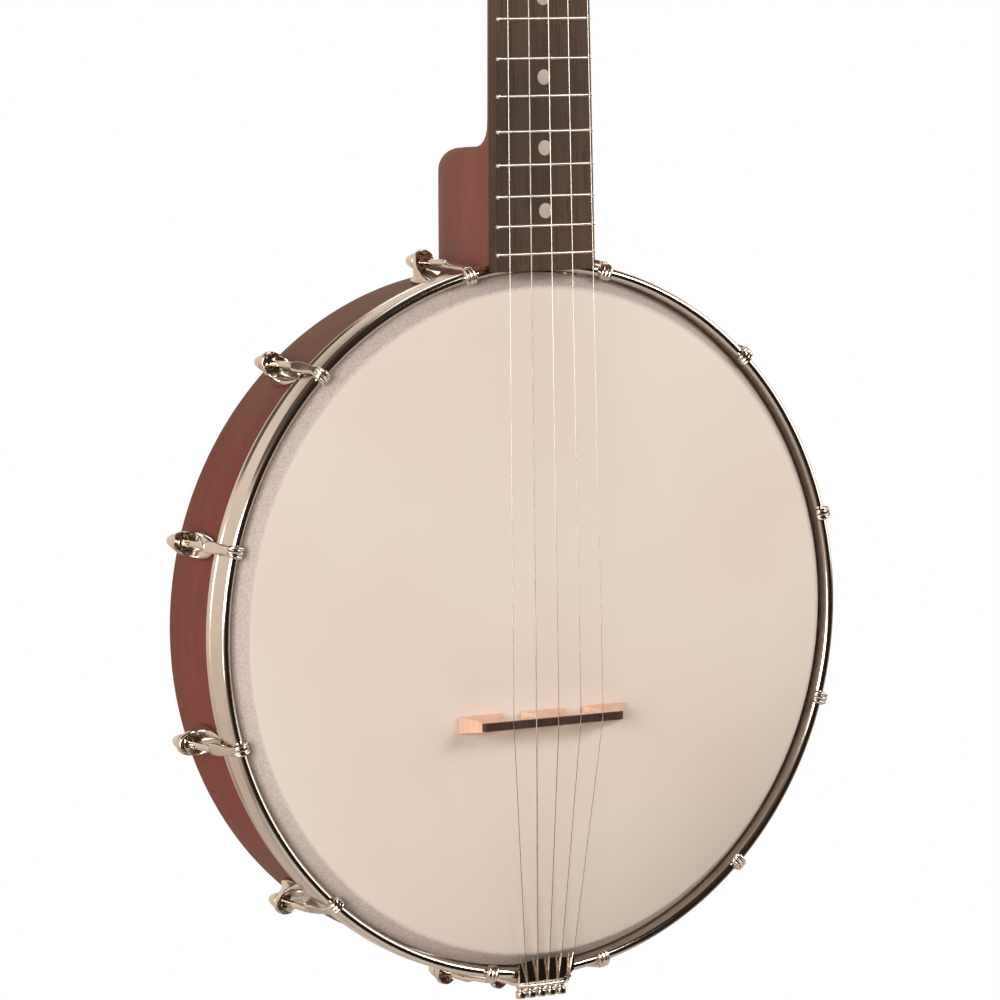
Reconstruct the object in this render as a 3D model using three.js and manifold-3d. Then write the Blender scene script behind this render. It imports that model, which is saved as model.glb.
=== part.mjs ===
// Open-back five-string banjo with an 11 inch pot.
// Lengths are in mm. X runs towards the treble side, Y from the head to the open back, Z up the neck.
// The pieces are laid out around the pot's centre, and the whole object is then moved
// so that its origin is the point on the neck where a hanger holds it, under the peghead.

import * as THREE from 'three';
import { mergeVertices } from 'three/addons/utils/BufferGeometryUtils.js';
import Module from 'manifold-3d';

const wasm = await Module();
wasm.setup();

// ---- Driving dimensions ----
const GAP = 0.3;

const SCALE_LENGTH = 666.7;
const BRIDGE_Z = -39;
const NUT_Z = BRIDGE_Z + SCALE_LENGTH;
const FRET_COUNT = 22;
const FIFTH_FRET = 5;

const RIM_OUTER_R = 139.7;
const RIM_INNER_R = 127;
const RIM_FRONT_Y = 6.4;
const RIM_BACK_Y = 56.2;
const CROWN_R = 136.1;
const HEAD_THICKNESS = 0.35;
const HEAD_SKIRT_R = 140.35;
const HOOP_INNER_R = 140.7;
const HOOP_OUTER_R = 145.2;
const HOOP_TOP_Y = 1.7;
const HOOP_BOTTOM_Y = 11;
const FLESH_OUTER_R = 144.4;
const FLESH_TOP_Y = 11.3;
const FLESH_BOTTOM_Y = 18;

const HOOKS_PER_SIDE = 6;
const FIRST_HOOK_DEG = 13;
const HOOK_STEP_DEG = 31.3;
const BASS_HOOK_TURN_DEG = 0.35;
const LOWEST_HOOK_TURN_DEG = -1.07;
const HOOK_ROD_R = 1.8;
const HOOK_AXIS_R = 148;
const SHOE_FRONT_Y = 33;
const SHOE_BACK_Y = 39;
const SHOE_AXIS_Y = 35;

const NECK_END_Z = 141.2;
const NECK_TILT = 0.009;
const BOARD_THICKNESS = 5.2;
const BODY_HALF_WIDTH = 23.3;
const NUT_TREBLE_X = 18.3;
const NUT_BASS_X = -10.4;
const NECK_DEPTH_AT_HEEL = 16;
const NECK_DEPTH_AT_NUT = 14;
const HEEL_TOP_Z = 190;
const HEEL_CORNER_DEPTH = 19;
const HEEL_CORNER_HEIGHT = 9.5;
const HEEL_HOLLOW_DEPTH = 12;
const HEEL_HOLLOW_LENGTH = 17;
const HEEL_TAPER = 0.76;
const HEEL_SQUARENESS = 6;
const SHAFT_SQUARENESS = 1.65;

const PEGHEAD_LENGTH = 168;
const PEGHEAD_THICKNESS = 14;
const PEGHEAD_ANGLE = THREE.MathUtils.degToRad(13);
const TUNER_ROWS = [50, 104];
const TUNER_OFFSET_X = 19;

const BRIDGE_HEIGHT = 12.7;
const BRIDGE_STRING_STEP = 10.53;
const BRIDGE_THIRD_X = -0.6;
const NUT_STRING_STEP = 7.5;
const NUT_THIRD_X = 0.3;
const TAIL_STRING_STEP = 5.7;
const TAIL_THIRD_X = 1.5;
const STRING_RADII = [0.15, 0.17, 0.21, 0.29, 0.15];

const ROD_R = 5;
const ROD_Y = SHOE_AXIS_Y;

const HANGER = new THREE.Vector3(0, 8, NUT_Z + 14);

const RING_SEGMENTS = 72;
const ROUND_SEGMENTS = 12;

// ---- Materials ----
function material(color, roughness, metalness) {
  return new THREE.MeshStandardMaterial({ color, roughness, metalness });
}

const mahogany = material(0x7d4b3c, 0.55, 0);
const rosewood = material(0x4b3a30, 0.6, 0);
const nickel = material(0xd2b7a0, 0.18, 1);
const brass = material(0xc8a25a, 0.3, 1);
const frosted = material(0xe0cfbe, 0.7, 0);
const maple = material(0xe1aa82, 0.6, 0);
const ebony = material(0x463430, 0.45, 0);
const bone = material(0xeee4cf, 0.45, 0);
const steel = material(0xb9b4ac, 0.3, 1);
const pearloid = material(0xe8dfd0, 0.35, 0);
const blackPlastic = material(0x1c1a19, 0.5, 0);

// ---- Solids: closed meshes, cut and joined ----
function toSolid(geometry) {
  const bare = geometry.index ? geometry.toNonIndexed() : geometry.clone();
  for (const name of Object.keys(bare.attributes)) {
    if (name !== 'position') bare.deleteAttribute(name);
  }
  const merged = mergeVertices(bare, 1e-4);
  const corners = merged.index.array;
  const kept = [];
  for (let i = 0; i < corners.length; i += 3) {
    const [a, b, c] = corners.slice(i, i + 3);
    if (a !== b && b !== c && c !== a) kept.push(a, b, c);
  }
  return new wasm.Manifold(new wasm.Mesh({
    numProp: 3,
    vertProperties: merged.attributes.position.array,
    triVerts: new Uint32Array(kept),
  }));
}

function toGeometry(solid) {
  const mesh = solid.getMesh();
  const geometry = new THREE.BufferGeometry();
  geometry.setAttribute('position', new THREE.BufferAttribute(new Float32Array(mesh.vertProperties), 3));
  geometry.setIndex(new THREE.BufferAttribute(new Uint32Array(mesh.triVerts), 1));
  return geometry;
}

function join(...parts) {
  return parts.reduce((whole, part) => whole.add(part));
}

function cut(solid, ...tools) {
  return tools.reduce((rest, tool) => rest.subtract(tool), solid);
}

function box(x0, x1, y0, y1, z0, z1) {
  const geometry = new THREE.BoxGeometry(x1 - x0, y1 - y0, z1 - z0);
  geometry.translate((x0 + x1) / 2, (y0 + y1) / 2, (z0 + z1) / 2);
  return toSolid(geometry);
}

// A round solid about the Y axis, from [radius, y] points in either order.
function turned(points, segments = ROUND_SEGMENTS) {
  const outline = points.map(([radius, y]) => new THREE.Vector2(radius, y));
  if (THREE.ShapeUtils.area(outline) < 0) outline.reverse();
  const onAxis = outline[0].x === 0 && outline[outline.length - 1].x === 0;
  if (!onAxis) outline.push(outline[0].clone());
  return new THREE.LatheGeometry(outline, segments);
}

// A cylinder between two points, of one radius or tapered.
function bar(from, to, radiusFrom, radiusTo = radiusFrom, segments = ROUND_SEGMENTS) {
  const along = new THREE.Vector3().subVectors(to, from);
  const geometry = new THREE.CylinderGeometry(radiusTo, radiusFrom, along.length(), segments);
  geometry.translate(0, along.length() / 2, 0);
  const turn = new THREE.Quaternion().setFromUnitVectors(new THREE.Vector3(0, 1, 0), along.normalize());
  geometry.applyQuaternion(turn);
  geometry.translate(from.x, from.y, from.z);
  return toSolid(geometry);
}

// An outline in the plane of two axes, thickened along the third.
// axes is 'yz' for a side outline thickened along X, 'xz' for a front outline thickened along Y.
function slab(shape, low, high, axes) {
  const geometry = new THREE.ExtrudeGeometry(shape, { depth: high - low, bevelEnabled: false, curveSegments: 6 });
  const place = new THREE.Matrix4();
  if (axes === 'yz') place.set(0, 0, 1, low, 1, 0, 0, 0, 0, 1, 0, 0, 0, 0, 0, 1);
  if (axes === 'xz') place.set(1, 0, 0, 0, 0, 0, -1, high, 0, 1, 0, 0, 0, 0, 0, 1);
  return toSolid(geometry.applyMatrix4(place));
}

function polygon(points) {
  return new THREE.Shape(points.map(([x, y]) => new THREE.Vector2(x, y)));
}

function moved(solid, matrix) {
  const geometry = toGeometry(solid);
  return toSolid(geometry.applyMatrix4(matrix));
}

const banjo = new THREE.Group();
banjo.position.copy(HANGER).negate();

function addPiece(name, shape, look, matrix = new THREE.Matrix4()) {
  const solid = shape.isBufferGeometry ? toSolid(shape) : shape;
  const mesh = new THREE.Mesh(toGeometry(solid), look);
  mesh.name = name;
  mesh.applyMatrix4(matrix);
  banjo.add(mesh);
}

// ---- Pot: rim, tone ring, head and hoops ----
// A placement at an angle clockwise from the neck: local Z points outwards, local X along the rim.
function aroundPot(degrees) {
  return new THREE.Matrix4().makeRotationY(THREE.MathUtils.degToRad(degrees));
}

function hookAngles() {
  const treble = [];
  for (let i = 0; i < HOOKS_PER_SIDE; i += 1) treble.push(FIRST_HOOK_DEG + i * HOOK_STEP_DEG);
  const bass = treble.map((angle) => BASS_HOOK_TURN_DEG - angle);
  // The pair beside the tailpiece stands a little to the treble side.
  treble[HOOKS_PER_SIDE - 1] += LOWEST_HOOK_TURN_DEG;
  bass[HOOKS_PER_SIDE - 1] += LOWEST_HOOK_TURN_DEG;
  return [...treble, ...bass.reverse()];
}

const SHOE_BOLT_R = 2.6;
const STUD_R = 3.5;

function radialBar(angle, y, fromR, toR, radius) {
  const from = new THREE.Vector3(0, y, fromR).applyMatrix4(aroundPot(angle));
  const to = new THREE.Vector3(0, y, toR).applyMatrix4(aroundPot(angle));
  return bar(from, to, radius);
}

function makeRim() {
  const blank = toSolid(turned([
    [RIM_INNER_R, RIM_FRONT_Y], [RIM_OUTER_R, RIM_FRONT_Y],
    [RIM_OUTER_R, RIM_BACK_Y - 1], [RIM_OUTER_R - 1, RIM_BACK_Y], [RIM_INNER_R, RIM_BACK_Y],
  ], RING_SEGMENTS));
  const holes = [...hookAngles(), 180].map((angle) => (
    radialBar(angle, SHOE_AXIS_Y, RIM_INNER_R - 4, RIM_OUTER_R + 4, SHOE_BOLT_R + GAP)
  ));
  const studHole = radialBar(0, ROD_Y, RIM_INNER_R - 4, RIM_OUTER_R + 4, STUD_R + GAP);
  return cut(blank, ...holes, studHole);
}

function makeToneRing() {
  return turned([
    [128.5, 1.1], [134.8, 0.8], [136.4, 2], [139.2, 6], [128.5, 6],
  ], RING_SEGMENTS);
}

function makeHead() {
  const outside = [
    [0, 0], [CROWN_R - 0.6, 0], [CROWN_R + 0.8, 0.9], [HEAD_SKIRT_R, 4.9], [HEAD_SKIRT_R, 13],
  ];
  const inside = outside.map(([r, y]) => [r === 0 ? 0 : r - HEAD_THICKNESS, y + HEAD_THICKNESS]);
  inside[inside.length - 1][1] = 13;
  return turned([...outside, ...inside.reverse()], RING_SEGMENTS);
}

function makeTensionHoop() {
  return turned([
    [HOOP_INNER_R, HOOP_BOTTOM_Y], [HOOP_INNER_R, HOOP_TOP_Y + 0.8], [HOOP_INNER_R + 1, HOOP_TOP_Y],
    [HOOP_OUTER_R - 1, HOOP_TOP_Y], [HOOP_OUTER_R, HOOP_TOP_Y + 1], [HOOP_OUTER_R, HOOP_BOTTOM_Y],
  ], RING_SEGMENTS);
}

function makeFleshHoop() {
  return turned([
    [HEAD_SKIRT_R + GAP, FLESH_TOP_Y], [FLESH_OUTER_R, FLESH_TOP_Y],
    [FLESH_OUTER_R, FLESH_BOTTOM_Y], [HEAD_SKIRT_R + GAP, FLESH_BOTTOM_Y],
  ], RING_SEGMENTS);
}

addPiece('rim', makeRim(), mahogany);
addPiece('tone_ring', makeToneRing(), brass);
addPiece('head', makeHead(), frosted);
addPiece('tension_hoop', makeTensionHoop(), nickel);
addPiece('flesh_hoop', makeFleshHoop(), nickel);

// ---- Hooks with their nuts, and the bracket shoes ----
const CLAW_TOP_Y = -0.9;
const CLAW_THICKNESS = 2.3;
const CLAW_HALF_WIDTH = 3;
const STRAP_HALF_WIDTH = 2.7;
const STRAP_END_Y = 19;
const NUT_FRONT_Y = SHOE_BACK_Y + GAP;
const NUT_LENGTH = 11;

function makeDomeNut(y, length) {
  return toSolid(turned([
    [0, y], [3.9, y], [3.9, y + 1.6], [3.6, y + 2], [3.6, y + length - 2.6], [0, y + length],
  ]).translate(0, 0, HOOK_AXIS_R));
}

function makeHook() {
  const claw = slab(polygon([
    [CLAW_TOP_Y + 0.5, HOOP_INNER_R - 0.2], [CLAW_TOP_Y + CLAW_THICKNESS, HOOP_INNER_R - 0.2],
    [CLAW_TOP_Y + CLAW_THICKNESS, HOOP_OUTER_R + GAP + 0.1], [HOOP_TOP_Y + 4, HOOP_OUTER_R + GAP + 0.1],
    [HOOP_TOP_Y + 4, HOOP_OUTER_R + 2.4], [CLAW_TOP_Y + 1.6, HOOP_OUTER_R + 1.9],
    [CLAW_TOP_Y, HOOP_OUTER_R], [CLAW_TOP_Y, HOOP_INNER_R + 0.8],
  ]), -CLAW_HALF_WIDTH, CLAW_HALF_WIDTH, 'yz');
  const strap = slab(polygon([
    [HOOP_TOP_Y + 2, HOOP_OUTER_R + GAP + 0.1], [STRAP_END_Y, HOOP_OUTER_R + GAP + 0.8],
    [STRAP_END_Y, HOOP_OUTER_R + 3.6], [HOOP_TOP_Y + 2, HOOP_OUTER_R + 2.3],
  ]), -STRAP_HALF_WIDTH, STRAP_HALF_WIDTH, 'yz');
  const rod = bar(
    new THREE.Vector3(0, STRAP_END_Y - 2, HOOK_AXIS_R),
    new THREE.Vector3(0, NUT_FRONT_Y + 3, HOOK_AXIS_R),
    HOOK_ROD_R,
  );
  return join(claw, strap, rod, makeDomeNut(NUT_FRONT_Y, NUT_LENGTH));
}

const LUG_HALF_WIDTH = 4.85;
const LUG_TOP_R = 152.8;
const TAIL_LUG_TOP_R = 155.2;

// A shoe bolted to the rim: an oval foot, a rounded lug for the hook, and its bolt with the head inside.
function makeShoe(lugTopR) {
  const centreR = lugTopR - LUG_HALF_WIDTH;
  const face = new THREE.Shape();
  face.moveTo(-LUG_HALF_WIDTH, RIM_OUTER_R + 1.4);
  face.lineTo(LUG_HALF_WIDTH, RIM_OUTER_R + 1.4);
  face.lineTo(LUG_HALF_WIDTH, centreR);
  face.absarc(0, centreR, LUG_HALF_WIDTH, 0, Math.PI, false);
  const lug = slab(face, SHOE_FRONT_Y, SHOE_BACK_Y, 'xz');
  const foot = toSolid(turned([[0, 0], [5.25, 0], [5.25, 1], [4.2, 2.2], [0, 2.2]], 16)
    .rotateX(Math.PI / 2)
    .scale(1, 2.1, 1)
    .translate(0, SHOE_AXIS_Y, RIM_OUTER_R + GAP));
  const shank = bar(
    new THREE.Vector3(0, SHOE_AXIS_Y, RIM_INNER_R - 2),
    new THREE.Vector3(0, SHOE_AXIS_Y, RIM_OUTER_R + 1.5),
    SHOE_BOLT_R,
  );
  const boltHead = bar(
    new THREE.Vector3(0, SHOE_AXIS_Y, RIM_INNER_R - 4.4),
    new THREE.Vector3(0, SHOE_AXIS_Y, RIM_INNER_R - 0.5),
    5,
    5,
    6,
  );
  const hookHole = bar(
    new THREE.Vector3(0, SHOE_FRONT_Y - 1, HOOK_AXIS_R),
    new THREE.Vector3(0, SHOE_BACK_Y + 1, HOOK_AXIS_R),
    HOOK_ROD_R + GAP + 0.1,
  );
  return cut(join(lug, foot, shank, boltHead), hookHole);
}

hookAngles().forEach((angle, index) => {
  const label = String(index + 1).padStart(2, '0');
  addPiece(`bracket_hook_${label}`, makeHook(), nickel, aroundPot(angle));
  addPiece(`bracket_shoe_${label}`, makeShoe(LUG_TOP_R), nickel, aroundPot(angle));
});
addPiece('tailpiece_shoe', makeShoe(TAIL_LUG_TOP_R), nickel, aroundPot(180));

// ---- Neck, seen from the front of the board: edges as functions of the height z ----
function fretZ(fret) {
  return NUT_Z - SCALE_LENGTH * (1 - 2 ** (-fret / 12));
}

const LAST_FRET_Z = fretZ(FRET_COUNT);
const FIFTH_Z = fretZ(FIFTH_FRET);
const BASS_SLOPE = 0.0165;
const STEP_LENGTH = 18;
const STEP_BASS_X = -13.2;

function trebleX(z) {
  const t = (z - LAST_FRET_Z) / (NUT_Z - LAST_FRET_Z);
  return THREE.MathUtils.lerp(BODY_HALF_WIDTH, NUT_TREBLE_X, t);
}

// The bass side carries the fifth string up to the fifth fret, then steps in to four strings.
function bassX(z) {
  const body = -BODY_HALF_WIDTH + BASS_SLOPE * (Math.min(z, FIFTH_Z) - LAST_FRET_Z);
  const stepEnd = FIFTH_Z + STEP_LENGTH;
  const head = THREE.MathUtils.mapLinear(z, stepEnd, NUT_Z, STEP_BASS_X, NUT_BASS_X);
  const blend = THREE.MathUtils.smoothstep(z, FIFTH_Z, stepEnd);
  return THREE.MathUtils.lerp(body, head, blend);
}

// The neck leans back slightly from the head's plane, pivoting at the last fret.
const lean = new THREE.Matrix4()
  .makeTranslation(0, 0, LAST_FRET_Z)
  .multiply(new THREE.Matrix4().makeRotationX(-NECK_TILT))
  .multiply(new THREE.Matrix4().makeTranslation(0, 0, -LAST_FRET_Z));

function boardTopY(z) {
  return -BOARD_THICKNESS + NECK_TILT * (z - LAST_FRET_Z);
}

function neckDepth(z) {
  return THREE.MathUtils.mapLinear(z, LAST_FRET_Z, NUT_Z, NECK_DEPTH_AT_HEEL, NECK_DEPTH_AT_NUT);
}

// Heights and depths of the sections from the pot to the nut: the heel's back, its rounded corner,
// its flat top, the hollow that leads into the shaft, and the shaft.
function neckStations() {
  const back = RIM_BACK_Y + 0.6;
  const stations = [[RIM_OUTER_R - 8, back]];
  for (let i = 0; i <= 6; i += 1) {
    const angle = (Math.PI / 2) * (i / 6);
    stations.push([
      HEEL_TOP_Z - HEEL_CORNER_HEIGHT * (1 - Math.sin(angle)),
      back - HEEL_CORNER_DEPTH * (1 - Math.cos(angle)),
    ]);
  }
  const hollowStart = HEEL_TOP_Z + 0.4;
  stations.push([hollowStart, NECK_DEPTH_AT_HEEL + HEEL_HOLLOW_DEPTH]);
  for (let i = 1; i <= 6; i += 1) {
    const angle = (Math.PI / 2) * (i / 6);
    const z = hollowStart + HEEL_HOLLOW_LENGTH * (1 - Math.cos(angle));
    stations.push([z, neckDepth(z) + HEEL_HOLLOW_DEPTH * (1 - Math.sin(angle)) ** 1.3]);
  }
  const shaftStart = HEEL_TOP_Z + HEEL_HOLLOW_LENGTH + 4;
  const stepEnd = FIFTH_Z + STEP_LENGTH;
  const stretches = [[shaftStart, FIFTH_Z, 6], [FIFTH_Z, stepEnd, 8], [stepEnd, NUT_Z + 6, 4]];
  for (const [from, to, count] of stretches) {
    for (let i = 0; i < count; i += 1) {
      const z = THREE.MathUtils.lerp(from, to, i / count);
      stations.push([z, neckDepth(z)]);
    }
  }
  stations.push([NUT_Z + 6, neckDepth(NUT_Z + 6)]);
  return stations;
}

// A section is half round under the board, and grows squarer and narrower the deeper it hangs.
function neckSectionPoint(angle, z, depth) {
  const share = THREE.MathUtils.smoothstep(depth, NECK_DEPTH_AT_HEEL, RIM_BACK_Y);
  const power = 2 / THREE.MathUtils.lerp(SHAFT_SQUARENESS, HEEL_SQUARENESS, share);
  const y = depth * Math.abs(Math.sin(angle)) ** power;
  const taper = THREE.MathUtils.mapLinear(y, 0, RIM_BACK_Y, 1, HEEL_TAPER);
  const centre = (trebleX(z) + bassX(z)) / 2;
  const halfWidth = (trebleX(z) - bassX(z)) / 2;
  const across = Math.sign(Math.cos(angle)) * Math.abs(Math.cos(angle)) ** power;
  return [centre + across * halfWidth * taper, GAP + y, z];
}

function makeNeckShaft() {
  const stations = neckStations();
  const turns = 16;
  const halfRound = new THREE.Shape();
  halfRound.moveTo(-1, 0);
  for (let i = 1; i < turns; i += 1) {
    const angle = Math.PI - (Math.PI * i) / turns;
    halfRound.lineTo(Math.cos(angle), Math.sin(angle));
  }
  halfRound.lineTo(1, 0);
  const geometry = new THREE.ExtrudeGeometry(halfRound, {
    depth: 1,
    steps: stations.length - 1,
    bevelEnabled: false,
  });
  const points = geometry.attributes.position;
  for (let i = 0; i < points.count; i += 1) {
    const [z, depth] = stations[Math.round(points.getZ(i) * (stations.length - 1))];
    const angle = Math.atan2(Math.max(points.getY(i), 0), points.getX(i));
    points.setXYZ(i, ...neckSectionPoint(angle, z, depth));
  }
  return toSolid(geometry);
}

// ---- Peghead: local frame with Z up the peghead and Y through it, at the nut ----
const PEGHEAD_START_Z = NUT_Z + 5;
const PEGHEAD_CENTRE_X = (NUT_TREBLE_X + NUT_BASS_X) / 2;
const pegheadFrame = lean.clone()
  .multiply(new THREE.Matrix4().makeTranslation(PEGHEAD_CENTRE_X, 0, PEGHEAD_START_Z))
  .multiply(new THREE.Matrix4().makeRotationX(-PEGHEAD_ANGLE));

const PEGHEAD_HALF_WIDTH = 31;
const PEGHEAD_FRONT_Y = -1.2;
const NUT_HALF_WIDTH = (NUT_TREBLE_X - NUT_BASS_X) / 2;

function makePegheadBlank() {
  const side = [
    [NUT_HALF_WIDTH, -6], [NUT_HALF_WIDTH, 3], [NUT_HALF_WIDTH + 1.5, 12], [NUT_HALF_WIDTH + 8, 22],
    [PEGHEAD_HALF_WIDTH - 1, 34], [PEGHEAD_HALF_WIDTH, 52], [PEGHEAD_HALF_WIDTH - 2.5, 78],
    [PEGHEAD_HALF_WIDTH - 3.5, 96], [PEGHEAD_HALF_WIDTH - 1, 118], [PEGHEAD_HALF_WIDTH + 1, 140],
    [PEGHEAD_HALF_WIDTH - 4, 152], [16, 155], [8, 161], [0, PEGHEAD_LENGTH],
  ];
  const outline = [...side, ...side.slice(0, -1).reverse().map(([x, z]) => [-x, z])];
  const low = PEGHEAD_FRONT_Y;
  return slab(polygon(outline), low, low + PEGHEAD_THICKNESS, 'xz');
}

const TUNER_HOLE_R = 5;

function tunerCentres() {
  return TUNER_ROWS.flatMap((z) => [[-TUNER_OFFSET_X, z], [TUNER_OFFSET_X, z]]);
}

function makeNeck() {
  const shaft = moved(makeNeckShaft(), lean);
  const peghead = moved(makePegheadBlank(), pegheadFrame);
  const potFront = toSolid(turned([
    [0, -3], [HOOP_OUTER_R + 0.6, -3], [HOOP_OUTER_R + 0.6, FLESH_BOTTOM_Y + 0.6], [0, FLESH_BOTTOM_Y + 0.6],
  ], RING_SEGMENTS));
  const potBack = toSolid(turned([
    [0, 0], [RIM_OUTER_R + GAP, 0], [RIM_OUTER_R + GAP, RIM_BACK_Y + 5], [0, RIM_BACK_Y + 5],
  ], RING_SEGMENTS));
  const studHole = bar(
    new THREE.Vector3(0, ROD_Y, RIM_OUTER_R - 4),
    new THREE.Vector3(0, ROD_Y, RIM_OUTER_R + 26),
    STUD_R + GAP,
  );
  const tunerHoles = tunerCentres().map(([x, z]) => moved(bar(
    new THREE.Vector3(x, PEGHEAD_FRONT_Y - 2, z),
    new THREE.Vector3(x, PEGHEAD_FRONT_Y + PEGHEAD_THICKNESS + 2, z),
    TUNER_HOLE_R,
  ), pegheadFrame));
  return cut(join(shaft, peghead), potFront, potBack, studHole, ...tunerHoles, makeNutSeat(), makeFifthPegHole());
}

// The nut sits in a square seat across the end of the board.
function makeNutSeat() {
  return moved(box(-40, 40, -12, GAP, NUT_Z - 4, PEGHEAD_START_Z + GAP), lean);
}

const FIFTH_PEG_Z = FIFTH_Z + 7;
const FIFTH_PEG_Y = 4.5;
const FIFTH_SHANK_R = 3.5;

function makeFifthPegHole() {
  return moved(bar(
    new THREE.Vector3(bassX(FIFTH_PEG_Z) - 5, FIFTH_PEG_Y, FIFTH_PEG_Z),
    new THREE.Vector3(bassX(FIFTH_PEG_Z) + 14, FIFTH_PEG_Y, FIFTH_PEG_Z),
    FIFTH_SHANK_R + GAP,
  ), lean);
}

const FRET_HEIGHT = 1;
const FRET_HALF_WIDTH = 1.1;

// The board, with its frets seated in it.
function makeFingerboard() {
  const steps = 12;
  const treble = [[trebleX(NECK_END_Z), NECK_END_Z], [trebleX(NUT_Z), NUT_Z - GAP]];
  const bass = [[bassX(NUT_Z), NUT_Z - GAP]];
  for (let i = steps; i >= 0; i -= 1) {
    const z = FIFTH_Z + (STEP_LENGTH * i) / steps;
    bass.push([bassX(z), z]);
  }
  bass.push([bassX(NECK_END_Z), NECK_END_Z]);
  const board = slab(polygon([...treble, ...bass]), -BOARD_THICKNESS, 0, 'xz');
  const frets = [];
  for (let fret = 1; fret <= FRET_COUNT; fret += 1) {
    const z = fretZ(fret);
    const top = -BOARD_THICKNESS - FRET_HEIGHT;
    frets.push(slab(polygon([
      [-BOARD_THICKNESS + 0.5, z - FRET_HALF_WIDTH], [-BOARD_THICKNESS + 0.5, z + FRET_HALF_WIDTH],
      [top, z + 0.4], [top, z - 0.4],
    ].reverse()), bassX(z) + 0.2, trebleX(z) - 0.2, 'yz'));
  }
  return moved(join(board, ...frets), lean);
}

const NUT_TOP_Y = -BOARD_THICKNESS - 1.7;

// The nut's top falls away behind its front edge, so each string leaves it there.
function makeNut() {
  const side = polygon([
    [0, NUT_Z], [0, PEGHEAD_START_Z - GAP], [NUT_TOP_Y + 1.6, PEGHEAD_START_Z - GAP],
    [NUT_TOP_Y, NUT_Z + 1.4], [NUT_TOP_Y, NUT_Z],
  ]);
  return moved(slab(side, NUT_BASS_X + 0.2, NUT_TREBLE_X - 0.2, 'yz'), lean);
}

addPiece('neck', makeNeck(), mahogany);
addPiece('fingerboard', makeFingerboard(), rosewood);
addPiece('nut', makeNut(), bone);

// ---- Strings: each is straight between its tuner, its nut, the bridge and the tailpiece ----
const PLATE_TOP_Y = -1;
const PLATE_INNER_Z = -137.4;
const PLATE_OUTER_Z = -147.6;
const CAP_TOP_Y = -BRIDGE_HEIGHT;
const FIFTH_NUT_HEIGHT = 2;
const POST_R = 3;
const POST_STRING_Y = -9;

function bridgeX(index) {
  return BRIDGE_THIRD_X + (2 - index) * BRIDGE_STRING_STEP;
}

function tailX(index) {
  return TAIL_THIRD_X + (2 - index) * TAIL_STRING_STEP;
}

function nutX(index) {
  return NUT_THIRD_X + (2 - index) * NUT_STRING_STEP;
}

// The strings run to the inner side of their posts, the outer pair to the nearer row of tuners.
function tunerOfString(index) {
  const row = index === 0 || index === 3 ? 0 : 1;
  const side = index < 2 ? 1 : -1;
  return { x: side * TUNER_OFFSET_X, z: TUNER_ROWS[row], side };
}

function makeString(index) {
  const radius = STRING_RADII[index];
  const lift = GAP + radius;
  const bridgeEnd = new THREE.Vector3(bridgeX(index), CAP_TOP_Y - lift - 0.15, BRIDGE_Z);
  const tailEnd = new THREE.Vector3(tailX(index), PLATE_TOP_Y - lift, PLATE_INNER_Z + 0.4);
  const anchor = new THREE.Vector3(tailX(index), PLATE_TOP_Y - lift, PLATE_OUTER_Z + 1);
  let nutEnd;
  let pegEnd;
  if (index === 4) {
    const slope = (nutX(4) - bridgeX(4)) / SCALE_LENGTH;
    const x = bridgeX(4) + slope * (FIFTH_Z - BRIDGE_Z);
    nutEnd = new THREE.Vector3(x, boardTopY(FIFTH_Z) - FIFTH_NUT_HEIGHT - lift, FIFTH_Z + 4.3);
    pegEnd = new THREE.Vector3(
      bassX(FIFTH_PEG_Z) - 4.2,
      FIFTH_PEG_Y - FIFTH_SHANK_R - lift - 1,
      FIFTH_PEG_Z + 1.5,
    );
  } else {
    nutEnd = new THREE.Vector3(nutX(index), NUT_TOP_Y - lift, NUT_Z + 1.2).applyMatrix4(lean);
    const tuner = tunerOfString(index);
    const inner = tuner.side * (TUNER_OFFSET_X - POST_R - lift);
    pegEnd = new THREE.Vector3(inner, POST_STRING_Y, tuner.z).applyMatrix4(pegheadFrame);
  }
  const route = [anchor, tailEnd, bridgeEnd, nutEnd, pegEnd];
  return join(...route.slice(1).map((end, i) => bar(route[i], end, radius, radius, 8)));
}

for (let index = 0; index < STRING_RADII.length; index += 1) {
  addPiece(`string_${index + 1}`, makeString(index), steel);
}

function makeFifthNut() {
  const slope = (nutX(4) - bridgeX(4)) / SCALE_LENGTH;
  const x = bridgeX(4) + slope * (FIFTH_Z - BRIDGE_Z);
  const top = boardTopY(FIFTH_Z) - FIFTH_NUT_HEIGHT;
  const from = new THREE.Vector3(x, boardTopY(FIFTH_Z) - GAP, FIFTH_Z + 3);
  const to = new THREE.Vector3(x, top, FIFTH_Z + 3);
  return bar(from, to, 1.2, 1);
}

addPiece('fifth_string_nut', makeFifthNut(), bone);

// ---- Bridge: three maple feet under one bar, with an ebony cap ----
const BRIDGE_FEET = [[-39.5, -20], [-10.6, 9.4], [18.6, 38.5]];
const CAP_RANGE = [-35, 31];
const CAP_THICKNESS = 1.9;
const BRIDGE_BASE_HALF = 3.2;
const BRIDGE_TOP_HALF = 1.6;
const BEAM_DEPTH = 2.2;
const ARCH_BULGE = 18;

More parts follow.
